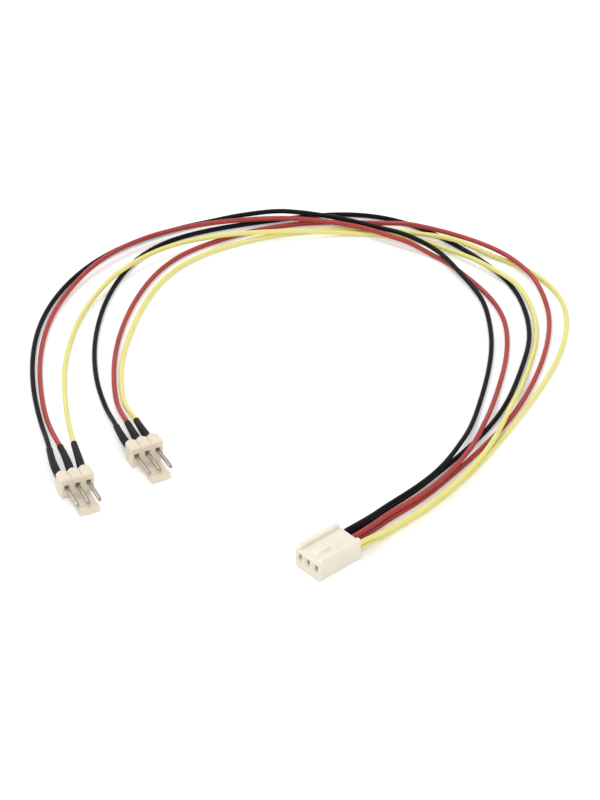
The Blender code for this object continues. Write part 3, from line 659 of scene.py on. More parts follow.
class Shape:
    """A rough solid with its modifiers, which becomes a plain piece at the origin."""

    def __init__(self, data: bpy.types.ID, name: str = "rough") -> None:
        """Puts the shape in the scene.

        Args:
            data: Its mesh or curve.
            name: Its name.
        """
        self.obj = link(name, data)
        self.scraps: list[bpy.types.Object] = []

    @classmethod
    def solid(cls, work: bmesh.types.BMesh, closed: bool = True) -> Shape:
        """The shape of a bmesh, with its faces turned outwards if it is closed."""
        if closed:
            bmesh.ops.recalc_face_normals(work, faces=work.faces)
        mesh = bpy.data.meshes.new("rough")
        work.to_mesh(mesh)
        work.free()
        return cls(mesh)

    @classmethod
    def box(cls, low: Sequence[float], high: Sequence[float]) -> Shape:
        """A box between two corners."""
        size = Vector(high) - Vector(low)
        middle = (Vector(high) + Vector(low)) / 2
        work = bmesh.new()
        place = Matrix.Translation(middle) @ Matrix.Diagonal((*size, 1.0))
        bmesh.ops.create_cube(work, size=1.0, matrix=place)
        return cls.solid(work)

    @classmethod
    def disc(cls, middle: Sequence[float], radius: float, depth: float, sides: int = 32) -> Shape:
        """An upright cylinder about its middle."""
        work = bmesh.new()
        bmesh.ops.create_cone(work, cap_ends=True, segments=sides, radius1=radius, radius2=radius,
                              depth=depth, matrix=Matrix.Translation(middle))
        return cls.solid(work)

    @classmethod
    def loft(cls, rings: Sequence[Sequence[Sequence[float]]]) -> Shape:
        """A closed solid through rings of points, each with as many points as the next."""
        work = bmesh.new()
        made = [[work.verts.new(point) for point in ring] for ring in rings]
        for ring, following in zip(made, made[1:]):
            for index, point in enumerate(ring):
                other = (index + 1) % len(ring)
                work.faces.new((point, ring[other], following[other], following[index]))
        work.faces.new(made[0])
        work.faces.new(made[-1])
        return cls.solid(work)

    @classmethod
    def prism(cls, outline: Sequence[tuple[float, float]], start: float, stop: float) -> Shape:
        """An outline in Y and Z, extruded along X."""
        work = bmesh.new()
        face = work.faces.new([work.verts.new((start, *pair)) for pair in outline])
        raised = bmesh.ops.extrude_face_region(work, geom=[face])["geom"]
        moved = [item for item in raised if isinstance(item, bmesh.types.BMVert)]
        bmesh.ops.translate(work, verts=moved, vec=(stop - start, 0.0, 0.0))
        return cls.solid(work)

    @classmethod
    def bar(cls, sections: Sequence[Sequence[float]]) -> Shape:
        """A four-sided bar through rectangles, each (middle x, y, middle z, width, height)."""
        corners = ((-1, -1), (1, -1), (1, 1), (-1, 1))
        return cls.loft([
            [(x + a * width / 2, y, z + b * height / 2) for a, b in corners]
            for x, y, z, width, height in sections
        ])

    @classmethod
    def sheet(cls, path: Sequence[tuple[float, float]], axis: int, start: float, stop: float,
              thickness: float) -> Shape:
        """A folded strip of sheet.

        Args:
            path: Its open line, in the two directions across the axis.
            axis: 0, 1 or 2, along which the line is extruded.
            start: Where the strip starts.
            stop: Where it ends.
            thickness: Given to it inwards.

        Returns:
            The shape.
        """
        work = bmesh.new()
        near, far = ([work.verts.new((*pair[:axis], level, *pair[axis:])) for pair in path]
                     for level in (start, stop))
        for index in range(len(path) - 1):
            work.faces.new((near[index], near[index + 1], far[index + 1], far[index]))
        shape = cls.solid(work, closed=False)
        return shape.modify("SOLIDIFY", thickness=thickness, offset=-1.0, use_even_offset=True)

    @classmethod
    def curve(cls, points: np.ndarray, radii: Sequence[float] | None = None) -> Shape:
        """A poly curve.

        Args:
            points: Its points, one a row.
            radii: The radius factor at each, or None for 1.

        Returns:
            The shape.
        """
        data = bpy.data.curves.new("rough", "CURVE")
        data.dimensions = "3D"
        spline = data.splines.new("POLY")
        spline.points.add(len(points) - 1)
        for index, (point, place) in enumerate(zip(spline.points, points)):
            point.co = (*place, 1.0)
            point.radius = 1.0 if radii is None else radii[index]
        return cls(data)

    @classmethod
    def merged(cls, shapes: Sequence[Shape]) -> Shape:
        """One shape from the evaluated meshes of several, which are removed."""
        work = bmesh.new()
        for shape in shapes:
            mesh = shape.evaluated()
            work.from_mesh(mesh)
            bpy.data.meshes.remove(mesh)
            bpy.data.objects.remove(shape.obj, do_unlink=True)
        return cls.solid(work, closed=False)

    def modify(self, kind: str, **settings) -> Shape:
        """Adds a modifier with its settings."""
        modifier = self.obj.modifiers.new(kind.lower(), kind)
        for key, value in settings.items():
            setattr(modifier, key, value)
        return self

    def soften(self, width: float, segments: int = 3, angle: float = 35.0) -> Shape:
        """Rounds the edges that are sharper than an angle in degrees."""
        return self.modify("BEVEL", width=width, segments=segments, limit_method="ANGLE",
                           angle_limit=math.radians(angle), miter_outer="MITER_ARC")

    def combine(self, operation: str, *others: Shape) -> Shape:
        """Joins other shapes on by a UNION, or cuts them away by a DIFFERENCE."""
        for other in others:
            self.modify("BOOLEAN", operation=operation, solver="EXACT", object=other.obj)
            other.obj.hide_render = other.obj.hide_viewport = True
            self.scraps.append(other.obj)
        return self

    def follow(self, tree: bpy.types.NodeTree, values: dict) -> Shape:
        """Puts a geometry tree on the shape.

        Args:
            tree: The tree.
            values: Its inputs by name, each set by its socket's identifier.

        Returns:
            The shape.
        """
        modifier = self.obj.modifiers.new(tree.name, "NODES")
        modifier.node_group = tree
        for item in tree.interface.items_tree:
            if item.in_out == "INPUT" and item.name in values:
                modifier[item.identifier] = values[item.name]
        return self

    def evaluated(self) -> bpy.types.Mesh:
        """The shape's mesh with its modifiers applied."""
        graph = bpy.context.evaluated_depsgraph_get()
        return bpy.data.meshes.new_from_object(self.obj.evaluated_get(graph), depsgraph=graph)

    def finish(self, name: str, sharp: float = 32.0, place: Matrix | None = None,
               cover: bpy.types.Material | None = None, drawn: bool = False) -> Shape:
        """Applies the modifiers and the place.

        Args:
            name: The piece's name.
            sharp: The angle in degrees from which an edge stays sharp.
            place: Where it goes in the row frame, or None if it is drawn there.
            cover: The material of a moulding, whose cut edges are welded and whose flats stay
                flat, or None for a piece that has its own.
            drawn: Whether its finish has lines along the connector's length.

        Returns:
            The finished piece, which takes the shape's place.
        """
        mesh = self.evaluated()
        if drawn:
            self._mark_run(mesh)
        if cover:
            self._weld(mesh)
            mesh.materials.clear()
            mesh.materials.append(cover)
        mesh.transform(place or Matrix.Identity(4))
        mesh.shade_smooth()
        mesh.set_sharp_from_angle(angle=math.radians(sharp))
        for obj in (self.obj, *self.scraps):
            bpy.data.objects.remove(obj, do_unlink=True)
        mesh.name = name
        piece = Shape(mesh, name)
        if cover:
            piece.modify("WEIGHTED_NORMAL", keep_sharp=True)
            even = piece.evaluated()
            piece.obj.modifiers.clear()
            piece.obj.data = even
            even.name = name
        return piece

    @staticmethod
    def _mark_run(mesh: bpy.types.Mesh) -> None:
        """Stores each point's place as drawn_run, in the connector's millimetres, length first."""
        places = np.empty(3 * len(mesh.vertices))
        mesh.vertices.foreach_get("co", places)
        turned = places.reshape(-1, 3)[:, (1, 0, 2)]
        mesh.attributes.new("drawn_run", "FLOAT_VECTOR", "POINT").data.foreach_set("vector", turned.ravel())

    @staticmethod
    def _weld(mesh: bpy.types.Mesh, distance: float = 0.002) -> None:
        """Merges the points that Booleans leave all but on each other, in the mesh's own unit."""
        work = bmesh.new()
        work.from_mesh(mesh)
        bmesh.ops.remove_doubles(work, verts=work.verts, dist=distance)
        bmesh.ops.dissolve_degenerate(work, edges=work.edges, dist=distance)
        work.to_mesh(mesh)
        work.free()

    def settle(self, slot: str, *nodes: str) -> bpy.types.Object:
        """Makes the piece ride on the body and stand for its CAD nodes.

        Args:
            slot: The record's material slot; not used.
            *nodes: The CAD nodes that it stands for.

        Returns:
            The piece's object.
        """
        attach(self.obj, BODY)
        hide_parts(*nodes)
        LOG.info("piece %s: %d faces, stands for %s", self.obj.name, len(self.obj.data.polygons),
                 ", ".join(nodes))
        return self.obj


@dataclass
class PhotoCamera:
    """The camera of the photograph, aimed at the floor under the middle of its frame."""

    elevation: float = 37.5
    distance: float = 1.1
    lens: float = 224.09
    sensor: float = 36.0
    near: float = 0.01
    far: float = 20.0

    def place(self) -> None:
        """Makes the camera and sets it as the scene's."""
        data = bpy.data.cameras.new("photo_camera")
        data.lens = self.lens
        data.sensor_width = self.sensor
        data.clip_start = self.near
        data.clip_end = self.far
        camera = link("photo_camera", data)
        tilt = math.radians(self.elevation)
        back = Vector((0.0, -math.cos(tilt), math.sin(tilt)))
        camera.location = plan_point(0.0, 0.0, 0.0) + back * self.distance
        camera.rotation_euler = (math.pi / 2 - tilt, 0.0, 0.0)
        bpy.context.scene.camera = camera


@dataclass
class Lamp:
    """A square soft lamp aimed at the middle of the cable."""

    name: str
    place: tuple[float, float, float]
    power: float
    size: float
    aim: tuple[float, float, float] = (0.02, 0.04, 0.0)

    def build(self) -> None:
        """Hangs the lamp."""
        data = bpy.data.lights.new(self.name, "AREA")
        data.energy = self.power
        data.size = self.size
        lamp = link(self.name, data)
        lamp.location = self.place
        lamp.rotation_euler = (Vector(self.aim) - Vector(self.place)).to_track_quat("-Z", "Y").to_euler()


@dataclass
class Studio:
    """A white table under a wide soft light."""

    floor_size: float = 6.0
    floor_colour: Colour = (0.92, 0.92, 0.92)
    floor_lift: float = 0.2
    dome: float = 0.86
    lamps: tuple[Lamp, ...] = (
        Lamp("key_light", (-0.45, 0.55, 1.05), 3.9, 0.3),
        Lamp("fill_light", (0.15, -1.05, 0.75), 3.0, 1.0),
    )

    def build(self) -> None:
        """Makes the world, the floor and the lamps."""
        bpy.context.scene.view_settings.view_transform = "Standard"
        self._world()
        self._floor()
        for lamp in self.lamps:
            lamp.build()

    @staticmethod
    def _seen(build: TreeBuilder, low: float, high: float) -> Socket:
        """High for rays from the camera, a reflection or a transmission, and low for the rest."""
        path = build.node("ShaderNodeLightPath").outputs
        shown = build.maths("MAXIMUM", path["Is Camera Ray"], path["Is Glossy Ray"])
        return build.span(build.maths("MAXIMUM", shown, path["Is Transmission Ray"]), low, high)

    def _world(self) -> None:
        """White to the camera, and a soft even dome as a light."""
        world = bpy.data.worlds.new("studio")
        world.use_nodes = True
        bpy.context.scene.world = world
        build = TreeBuilder(world.node_tree)
        sky = build.out("ShaderNodeBackground", {
            "Color": WHITE, "Strength": self._seen(build, self.dome, 1.0),
        })
        build.node("ShaderNodeOutputWorld", {"Surface": sky})

    def _floor(self) -> None:
        """The table top, which keeps the shadow and is lifted to white where it is seen."""
        half = self.floor_size / 2
        mesh = bpy.data.meshes.new("table_top")
        corners = [(-half, -half, 0.0), (half, -half, 0.0), (half, half, 0.0), (-half, half, 0.0)]
        mesh.from_pydata(corners, [], [range(len(corners))])
        material = bpy.data.materials.new("white table")
        material.use_nodes = True
        build = TreeBuilder(material.node_tree)
        matte = build.out("ShaderNodeBsdfDiffuse", {"Color": self.floor_colour})
        glow = build.out("ShaderNodeEmission", {
            "Color": WHITE, "Strength": self._seen(build, 0.0, self.floor_lift),
        })
        both = build.out("ShaderNodeAddShader", {0: matte, 1: glow})
        build.node("ShaderNodeOutputMaterial", {"Surface": both})
        mesh.materials.append(material)
        link("table_top", mesh)


@dataclass
class WireRun:
    """One insulated wire from a plug's sleeve to the socket's cavity."""

    side: Side
    circuit: Circuit
    diameter: float = 1.1
    rest: float = 0.05
    block_back: float = 3.5
    socket_back: float = 12.0
    socket_lead: float = 1.5
    crimp_inset: float = 3.3
    cavity_middle: float = 2.3
    stack: float = 1.4
    dense_step: float = 0.25
    step: float = 0.5
    sides: int = 20
    ripple: float = 0.03
    ripple_scale: float = 90.0
    sharp: float = 60.0
    line: np.ndarray = field(init=False)

    def __post_init__(self) -> None:
        """Works out the wire's smooth centreline."""
        self.line = self._smooth(self._points())

    @property
    def seed(self) -> int:
        """A number of its own for each wire's ripple."""
        return self.circuit.number + CIRCUITS * (self.side is Side.RIGHT)

    def _at_socket(self, beyond: float) -> Vector:
        """The wire's middle at a distance behind the socket's rear."""
        layer = self.stack / 2 if self.side is Side.LEFT else -self.stack / 2
        return SOCKET_BERTH.point(self.circuit.offset, self.socket_back + beyond, self.cavity_middle + layer)

    def _points(self) -> list[Vector]:
        """The route's own points, as the CAD has them: out of the plug, round and into the socket."""
        berth = PLUG_BERTHS[self.side]
        route = ROUTES[self.circuit, self.side]
        points = [berth.point(self.circuit.offset, self.block_back, PIN_HEIGHT)]
        points += [berth.point(*place) for place in route.tail]
        for index, (radius, lift) in enumerate(zip(route.radii, route.lifts)):
            angle = math.radians(FIRST_RAY + index * RAY_STEP)
            x = LOOP_CENTRE[0] + radius * math.cos(angle)
            y = LOOP_CENTRE[1] + radius * math.sin(angle)
            points.append(plan_point(x, y, self.diameter / 2 + self.rest + lift))
        return points + [self._at_socket(beyond) for beyond in (self.socket_lead, 0.0, -self.crimp_inset)]

    @staticmethod
    def _plan_slopes(knots: np.ndarray, values: np.ndarray) -> np.ndarray:
        """Slopes of the natural cubic spline through the plan points.

        Args:
            knots: Each point's distance along the route.
            values: The points, one a row.

        Returns:
            The slope at each point.
        """
        count = len(knots)
        gaps = np.diff(knots)
        matrix = np.zeros((count, count))
        right = np.zeros_like(values)
        matrix[0, :2] = (2.0, 1.0)
        right[0] = 3 * (values[1] - values[0]) / gaps[0]
        matrix[-1, -2:] = (1.0, 2.0)
        right[-1] = 3 * (values[-1] - values[-2]) / gaps[-1]
        for index in range(1, count - 1):
            before, after = gaps[index - 1], gaps[index]
            matrix[index, index - 1:index + 2] = (after, 2 * (before + after), before)
            rise = (values[index] - values[index - 1]) / before
            run = (values[index + 1] - values[index]) / after
            right[index] = 3 * (after * rise + before * run)
        return np.linalg.solve(matrix, right)

    @staticmethod
    def _height_slopes(knots: np.ndarray, heights: np.ndarray) -> np.ndarray:
        """Slopes that never carry a height past its neighbours, with the arguments of _plan_slopes."""
        rises = np.diff(heights) / np.diff(knots)
        slopes = np.zeros_like(heights)
        for index, (before, after) in enumerate(zip(rises, rises[1:]), 1):
            if before * after > 0:
                slopes[index] = 2 * before * after / (before + after)
        return slopes

    @staticmethod
    def _distances(places: np.ndarray) -> np.ndarray:
        """Each point's distance along a line of points."""
        return np.concatenate(([0.0], np.cumsum(np.linalg.norm(np.diff(places, axis=0), axis=1))))

    def _smooth(self, points: Sequence[Vector]) -> np.ndarray:
        """A dense line on one smooth curve through the points.

        Args:
            points: The route's points, in the row frame.

        Returns:
            The line's points, one a row.
        """
        places = np.array([tuple(point) for point in points])
        knots = self._distances(places[:, :2])
        slopes = np.column_stack((
            self._plan_slopes(knots, places[:, :2]), self._height_slopes(knots, places[:, 2])))
        at = np.linspace(0.0, knots[-1], int(knots[-1] / (self.dense_step * MM)))
        span = np.clip(np.searchsorted(knots, at, side="right") - 1, 0, len(knots) - 2)
        width = (knots[span + 1] - knots[span])[:, None]
        share = ((at - knots[span]) / width[:, 0])[:, None]
        return (
            (2 * share ** 3 - 3 * share ** 2 + 1) * places[span]
            + (share ** 3 - 2 * share ** 2 + share) * width * slopes[span]
            + (3 * share ** 2 - 2 * share ** 3) * places[span + 1]
            + (share ** 3 - share ** 2) * width * slopes[span + 1]
        )

    def stretch(self, start: float, stop: float | None, step: float) -> np.ndarray:
        """Evenly spaced points along part of the line.

        Args:
            start: Where it starts, in millimetres from the plug's block.
            stop: Where it stops, or None for the far end.
            step: The spacing in millimetres.

        Returns:
            The points, one a row, in metres.
        """
        along = self._distances(self.line) / MM
        end = along[-1] if stop is None else stop
        wanted = np.linspace(start, end, max(3, int((end - start) / step)))
        return np.column_stack([np.interp(wanted, along, self.line[:, axis]) for axis in range(3)])

    def build(self, shop: Workshop) -> None:
        """Args:
            shop: The workshop.
        """
        slot = f"{self.circuit.value}_insulation"
        name = f"wire_{self.circuit.value}_{self.side.value}"
        points = self.stretch(PIN_TAIL, None, self.step)
        rough = Shape.curve(points).follow(shop.trees.tube, {
            "Radius": self.diameter / 2 * MM, "Sides": self.sides, "Ripple": self.ripple * MM,
            "Ripple Scale": self.ripple_scale, "Seed": float(self.seed), "Closed Ends": True,
            "Cover": shop.covers[slot],
        })
        wire = rough.finish(f"{name}_insulation", self.sharp).settle(slot, name)
        tuple(self._at_socket(0.0))


@dataclass
class ShrunkSleeve:
    """The sleeve shrunk over one soldered joint and the end of its wire."""

    run: WireRun
    block_face: float = 3.2
    wall: float = 0.15
    lip: float = 0.07
    sides: int = 24
    step: float = 0.22
    ripple: float = 0.07
    ripple_scale: float = 900.0
    first_seed: float = 11.0
    sharp: float = 50.0
    swell: tuple[tuple[float, float], ...] = (
        (0.0, 0.84), (0.05, 0.88), (0.2, 0.92), (0.34, 0.905), (0.5, 0.84), (0.7, 0.78), (0.9, 0.735),
        (1.0, 0.715),
    )

    def build(self, shop: Workshop) -> None:
        """Sweeps the sleeve along the wire's own line, wider over the joint, and gives it a wall.

        Args:
            shop: The workshop.
        """
        run, slot = self.run, "shrunk_sleeve"
        root = PLUG_BERTHS[run.side].point(run.circuit.offset, self.block_face, PIN_HEIGHT)
        points = np.vstack((tuple(root), run.stretch(0.0, SLEEVE_LENGTHS[run.side], self.step)))
        places, radii = zip(*self.swell)
        swollen = np.interp(np.linspace(0.0, 1.0, len(points)), places, radii)
        rough = Shape.curve(points, swollen.tolist()).follow(shop.trees.tube, {
            "Radius": MM, "Sides": self.sides, "Ripple": self.ripple * MM,
            "Ripple Scale": self.ripple_scale, "Seed": self.first_seed + run.seed,
            "Closed Ends": False, "Cover": shop.covers[slot],
        })
        tube = rough.finish("rough_tube", run.sharp).modify("SOLIDIFY", thickness=self.wall * MM, offset=-1.0)
        tube.modify("BEVEL", width=self.lip * MM, segments=2, limit_method="ANGLE",
                    angle_limit=math.radians(60.0))
        name = f"plug_{run.side.value}_sleeve_{run.circuit.number}"
        tube.finish(f"{name}_tube", self.sharp).settle(slot, name)


@dataclass
class SocketHousing:
    """The moulded three-way socket: stepped cavities, guide rails, ramp, windows and pin holes."""

    width: float = 7.72
    length: float = 12.0
    height: float = 4.6
    front_wall: float = 1.3
    cavity_width: float = 1.9
    cavity_floor: float = 0.65
    cavity_height: float = 3.3
    entry_height: float = 2.9
    entry_width: float = 1.05
    entry_tall: float = 1.45
    entry_lead: float = 0.35
    entry_lead_depth: float = 0.45
    rail_width: float = 1.05
    rail_height: float = 0.8
    rail_slope: float = 1.2
    rail_inset: float = 0.22
    rail_sink: float = 0.44
    rail_edge: float = 0.16
    ramp_width: float = 2.6
    ramp_height: float = 0.45
    ramp_start: float = 1.6
    ramp_length: float = 3.8
    ramp_draft: float = 0.4
    ramp_side: float = 0.04
    ramp_toe: float = 0.01
    ramp_sink: float = 0.22
    window_width: float = 1.1
    window_start: float = 6.0
    window_length: float = 2.4
    rear_step_depth: float = 0.8
    rear_step_height: float = 0.5
    corner: float = 0.3
    soft_edge: float = 0.09
    ejector_places: tuple[tuple[float, float], ...] = ((-1.27, 3.2), (1.27, 3.2), (0.0, 9.9))
    ejector_radius: float = 0.45
    ejector_depth: float = 0.1
    gate_place: tuple[float, float] = (0.0, 8.6)
    gate_radius: float = 0.55
    gate_depth: float = 0.14
    margin: float = 1.0

    def build(self, shop: Workshop) -> None:
        """Moulds the housing.

        Args:
            shop: The workshop.
        """
        half = self.width / 2
        body = Shape.box((-half, 0.0, 0.0), (half, self.length, self.height)).soften(self.corner)
        body.combine("UNION", self._rail(-1), self._rail(1), self._ramp())
        for circuit in Circuit:
            body.combine("DIFFERENCE", *self._cavity(circuit.offset))
        body.combine("DIFFERENCE", Shape.box(
            (-half - self.margin, self.length - self.rear_step_depth, -self.margin),
            (half + self.margin, self.length + self.margin, self.rear_step_height)))
        for x, y in self.ejector_places:
            body.combine("DIFFERENCE", Shape.disc((x, y, 0.0), self.ejector_radius, self.ejector_depth))
        gate = Shape.disc((*self.gate_place, self.height), self.gate_radius, self.gate_depth)
        body.combine("DIFFERENCE", gate)
        cover = shop.covers["ivory_nylon"]
        piece = body.finish("socket_housing_moulding", place=SOCKET_BERTH.matrix(), cover=cover)
        piece.settle("ivory_nylon", "socket_housing")

    def _rail(self, side: int) -> Shape:
        """One guide rail along the top, sloped at the mating end.

        Args:
            side: -1 or 1, for the left or the right one.

        Returns:
            The rail.
        """
        top = self.height + self.rail_height
        foot = self.height - self.rail_sink
        near, far = self.rail_inset, self.length - self.rail_inset
        outline = (
            (near, foot), (far, foot), (far, top), (near + self.rail_slope, top),
            (near, self.height + self.rail_height / 3),
        )
        outer = self.width / 2
        start, stop = sorted((side * (outer - self.rail_width), side * outer))
        return Shape.prism(outline, start, stop).soften(self.rail_edge)

    def _ramp(self) -> Shape:
        """The ramp between the rails that a plug's hook snaps over."""
        foot = self.height - self.ramp_sink
        start, stop = self.ramp_start, self.ramp_start + self.ramp_length
        half = self.ramp_width / 2
        inner = half - self.ramp_draft
        rings = []
        for x, rise in ((-half, self.ramp_side), (-inner, 1.0), (inner, 1.0), (half, self.ramp_side)):
            top = self.height + rise * self.ramp_height
            rings.append((
                (x, start, foot), (x, stop, foot), (x, stop, top),
                (x, start + self.ramp_length / 2, top), (x, start, self.height + self.ramp_toe),
            ))
        return Shape.loft(rings).soften(self.soft_edge, angle=20.0)

    def _cavity(self, x: float) -> tuple[Shape, Shape, Shape]:
        """What is cut for one contact.

        Args:
            x: The contact's place along the row.

        Returns:
            The cavity, the flared pin hole and the locking window.
        """
        half = self.cavity_width / 2
        roof = self.cavity_floor + self.cavity_height
        cavity = Shape.box((x - half, self.front_wall, self.cavity_floor),
                           (x + half, self.length + self.margin, roof))
        beyond = 2 * self.entry_lead * (1 + self.margin / self.entry_lead_depth)
        width, tall = self.entry_width, self.entry_tall
        hole = Shape.bar((
            (x, -self.margin, self.entry_height, width + beyond, tall + beyond),
            (x, self.entry_lead_depth, self.entry_height, width, tall),
            (x, self.front_wall + self.margin / 2, self.entry_height, width, tall),
        ))
        half = self.window_width / 2
        window = Shape.box(
            (x - half, self.window_start, -self.margin),
            (x + half, self.window_start + self.window_length, self.cavity_floor + self.margin))
        return cavity, hole, window


@dataclass
class FoldedContacts:
    """The three folded contacts in the socket: box with a spring, open neck, crimped barrel."""

    sheet: float = 0.15
    front: float = 1.4
    box_length: float = 4.8
    neck_length: float = 1.8
    neck_lap: float = 0.1
    neck_gap: float = 0.02
    neck_wall: float = 0.9
    barrel_length: float = 2.6
    half_width: float = 0.8
    floor: float = 0.8
    roof: float = 3.8
    bend: float = 0.3
    seam: float = 0.06
    spring_half: float = 0.4
    spring_root: float = 4.4
    spring_crest: float = 1.9
    spring_tip: float = 0.7
    spring_rise: float = 1.25
    spring_dip: float = 0.35
    spring_steps: int = 12
    lance_half: float = 0.35
    lance_thin: float = 0.8
    lance: tuple[tuple[float, float], ...] = ((0.0, 0.02), (0.5, -0.12), (1.3, -0.36))
    barrel: tuple[tuple[float, float], ...] = (
        (0.03, 3.36), (0.07, 3.55), (0.18, 3.7), (0.36, 3.78), (0.54, 3.72), (0.68, 3.54), (0.74, 3.3),
        (0.76, 2.3), (0.74, 1.3), (0.66, 1.0), (0.48, 0.84), (0.25, 0.8),
    )
    sharp: float = 40.0

    def build(self, shop: Workshop) -> None:
        """Folds one contact and repeats it along the row.

        Args:
            shop: The workshop.
        """
        neck = self.front + self.box_length
        barrel = neck + self.neck_length
        lance = [(neck + y, self.floor + z) for y, z in self.lance]
        across = self.spring_half
        parts = (
            (self._box(), 1, self.front, neck, self.sheet),
            (self._neck(), 1, neck - self.neck_lap, barrel + self.neck_lap, self.sheet),
            (self._both(self.barrel), 1, barrel, barrel + self.barrel_length, self.sheet),
            (self._spring(), 0, -across, across, self.sheet),
            (lance, 0, -self.lance_half, self.lance_half, self.sheet * self.lance_thin),
        )
        contact = Shape.merged([Shape.sheet(*part) for part in parts])
        row = contact.follow(shop.trees.row, {"Cover": shop.covers["tinned_brass"]})
        piece = row.finish("socket_contacts", self.sharp, SOCKET_BERTH.matrix(), drawn=True)
        piece.settle("tinned_brass", *(f"socket_terminal_{circuit.number}" for circuit in Circuit))

    @staticmethod
    def _both(right: Sequence[tuple[float, float]]) -> list[tuple[float, float]]:
        """A line and its mirror image, from the seam round to the seam."""
        return [*right, *((-x, z) for x, z in reversed(right))]

    def _foot(self, side: float) -> tuple[tuple[float, float], ...]:
        """The round fold from a wall down to the floor."""
        quarter = self.bend * (1 - math.sqrt(0.5))
        return ((side, self.floor + self.bend), (side - quarter, self.floor + quarter),
                (side - self.bend, self.floor))

    def _box(self) -> list[tuple[float, float]]:
        """The receptacle's section, closed but for its seam."""
        quarter = self.bend * (1 - math.sqrt(0.5))
        side = self.half_width
        return self._both((
            (self.seam / 2, self.roof), (side - self.bend, self.roof), (side - quarter, self.roof - quarter),
            (side, self.roof - self.bend), *self._foot(side),
        ))

    def _neck(self) -> list[tuple[float, float]]:
        """The neck's open section."""
        side = self.half_width - self.neck_gap
        return self._both(((side, self.floor + self.neck_wall), *self._foot(side)))

    def _spring(self) -> list[tuple[float, float]]:
        """The spring's side view, rising from the floor of the box to press on a pin."""
        root, crest, tip = self.spring_root, self.spring_crest, self.spring_tip
        path = []
        for index in range(self.spring_steps + 1):
            y = root + (tip - root) * index / self.spring_steps
            if y > crest:
                z = self.spring_rise * math.sin((root - y) / (root - crest) * math.pi / 2) ** 2
            else:
                z = self.spring_rise - self.spring_dip * ((crest - y) / (crest - tip)) ** 2
            path.append((self.front + y, self.floor + self.sheet / 2 + z))
        return path


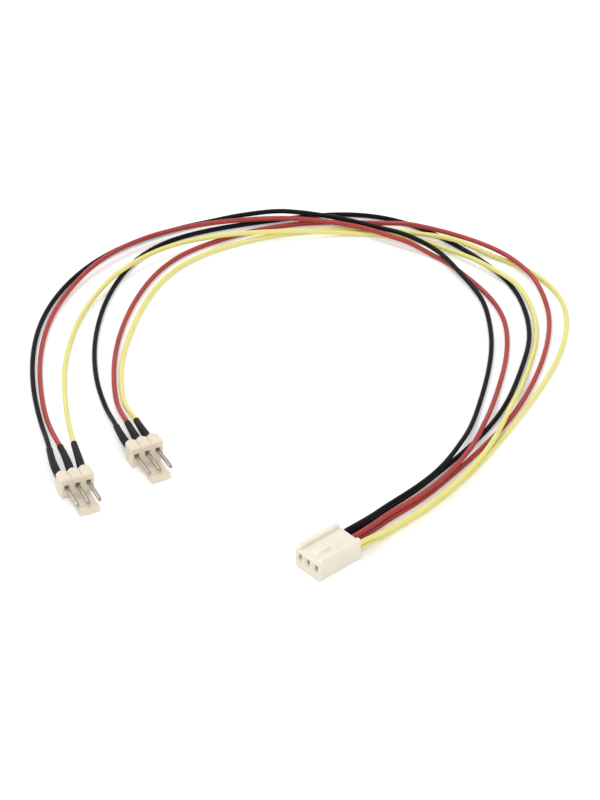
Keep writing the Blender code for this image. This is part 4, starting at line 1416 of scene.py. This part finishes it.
@dataclass
class PinPlug:
    """One plug: moulded block, hooked tongue, scalloped rear edge and three square pins."""

    side: Side
    width: float = 7.72
    length: float = 3.2
    height: float = 5.0
    pin_side: float = 0.64
    pin_reach: float = 7.0
    pin_point: float = 0.55
    pin_point_side: float = 0.3
    pin_edge: float = 0.05
    pin_fit: float = 0.02
    tongue_width: float = 4.6
    tongue_thick: float = 1.0
    tongue_length: float = 7.2
    tongue_root: float = 0.9
    tongue_sink: float = 0.44
    hook_length: float = 1.3
    hook_height: float = 0.45
    hook_slope: float = 0.7
    tip_slope: float = 0.35
    collar_radius: float = 1.02
    collar_reach: float = 0.55
    collar_tall: float = 1.0
    collar_sides: int = 40
    notch_width: float = 0.7
    notch_depth: float = 0.4
    notch_front: float = 0.08
    notch_over: float = 0.1
    seat_side: float = 1.15
    seat_tall: float = 1.3
    seat_depth: float = 0.4
    corner: float = 0.26
    soft_edge: float = 0.08
    margin: float = 1.0

    @property
    def name(self) -> str:
        """The stem of the plug's node names."""
        return f"plug_{self.side.value}"

    def build(self, shop: Workshop) -> None:
        """Moulds the block with its tongue, and makes the row of pins.

        Args:
            shop: The workshop.
        """
        half = self.width / 2
        body = Shape.box((-half, 0.0, 0.0), (half, self.length, self.height)).soften(self.corner)
        body.combine("UNION", self._tongue(), *(self._collar(circuit.offset) for circuit in Circuit))
        for circuit in Circuit:
            body.combine("DIFFERENCE", *self._passage(circuit.offset))
        body.combine("DIFFERENCE", self._notch(-PITCH / 2), self._notch(PITCH / 2))
        place = PLUG_BERTHS[self.side].matrix()
        block = body.finish(f"{self.name}_moulding", place=place, cover=shop.covers["beige_nylon"])
        block.settle("beige_nylon", f"{self.name}_body")
        row = self._pin().follow(shop.trees.row, {"Cover": shop.covers["tinned_brass"]})
        pins = row.finish(f"{self.name}_pins", place=place, drawn=True)
        pins.settle("tinned_brass", *(f"{self.name}_pin_{circuit.number}" for circuit in Circuit))

    def _collar(self, x: float) -> Shape:
        """One round lobe of the scalloped rear edge."""
        middle = (x, self.length + self.collar_reach - self.collar_radius,
                  self.height - self.collar_tall / 2 - self.corner / 2)
        lobe = Shape.disc(middle, self.collar_radius, self.collar_tall, self.collar_sides)
        return lobe.soften(self.soft_edge)

    def _notch(self, x: float) -> Shape:
        """The groove between two collars, deep at the rear edge and fading towards the front."""
        half = self.notch_width / 2
        top = self.height + self.notch_over
        rings = []
        for y in (-self.margin, self.length + self.margin):
            depth = self.notch_front + (self.notch_depth - self.notch_front) * y / self.length
            rings.append(((x - half, y, top), (x, y, self.height - depth), (x + half, y, top)))
        return Shape.loft(rings)

    def _passage(self, x: float) -> tuple[Shape, Shape]:
        """What is cut for one pin.

        Args:
            x: The pin's place along the row.

        Returns:
            The pin's passage and the shallow seat round its root.
        """
        hole = self.pin_side / 2 + self.pin_fit
        side, tall = self.seat_side / 2, self.seat_tall / 2
        return (
            Shape.box((x - hole, -self.margin, PIN_HEIGHT - hole),
                      (x + hole, self.length + self.margin, PIN_HEIGHT + hole)),
            Shape.box((x - side, -self.margin, PIN_HEIGHT - tall),
                      (x + side, self.seat_depth, PIN_HEIGHT + tall)),
        )

    def _tongue(self) -> Shape:
        """The springy tongue with its hook and sloped tip."""
        top, root, sink, slope = self.tongue_thick, self.tongue_root, self.tongue_sink, self.tip_slope
        tip = -self.tongue_length
        hook = tip + self.hook_length
        crest = top + self.hook_height
        outline = (
            (sink, 0.0), (sink, top + root), (0.0, top + root), (-root / 3, top + root / 3), (-root, top),
            (hook, top), (hook, crest), (tip + self.hook_length * self.hook_slope, crest),
            (tip, top - slope), (tip, slope), (tip + slope, 0.0),
        )
        half = self.tongue_width / 2
        return Shape.prism(outline, -half, half).soften(self.soft_edge, angle=20.0)

    def _pin(self) -> Shape:
        """One square pin with pointed ends."""
        tip = -self.pin_reach
        tail = self.length + PIN_TAIL
        sections = ((tip, self.pin_point_side), (tip + self.pin_point, self.pin_side),
                    (tail - self.pin_point, self.pin_side), (tail, self.pin_point_side))
        pin = Shape.bar([(0.0, y, PIN_HEIGHT, side, side) for y, side in sections])
        return pin.soften(self.pin_edge, 2, 15.0)


def main() -> None:
    """Builds the scene: camera and wires first, then the connectors."""
    logging.basicConfig(level=logging.INFO, format="%(name)s: %(message)s")
    for obj in list(bpy.data.objects):
        bpy.data.objects.remove(obj, do_unlink=True)
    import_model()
    shop = Workshop()
    PhotoCamera().place()
    Studio().build()
    runs = [WireRun(side, circuit) for side in Side for circuit in Circuit]
    sleeves = [ShrunkSleeve(run) for run in runs]
    plugs = [PinPlug(side) for side in Side]
    for assembly in (*runs, *sleeves, SocketHousing(), FoldedContacts(), *plugs):
        assembly.build(shop)


if __name__ == "__main__":
    main()
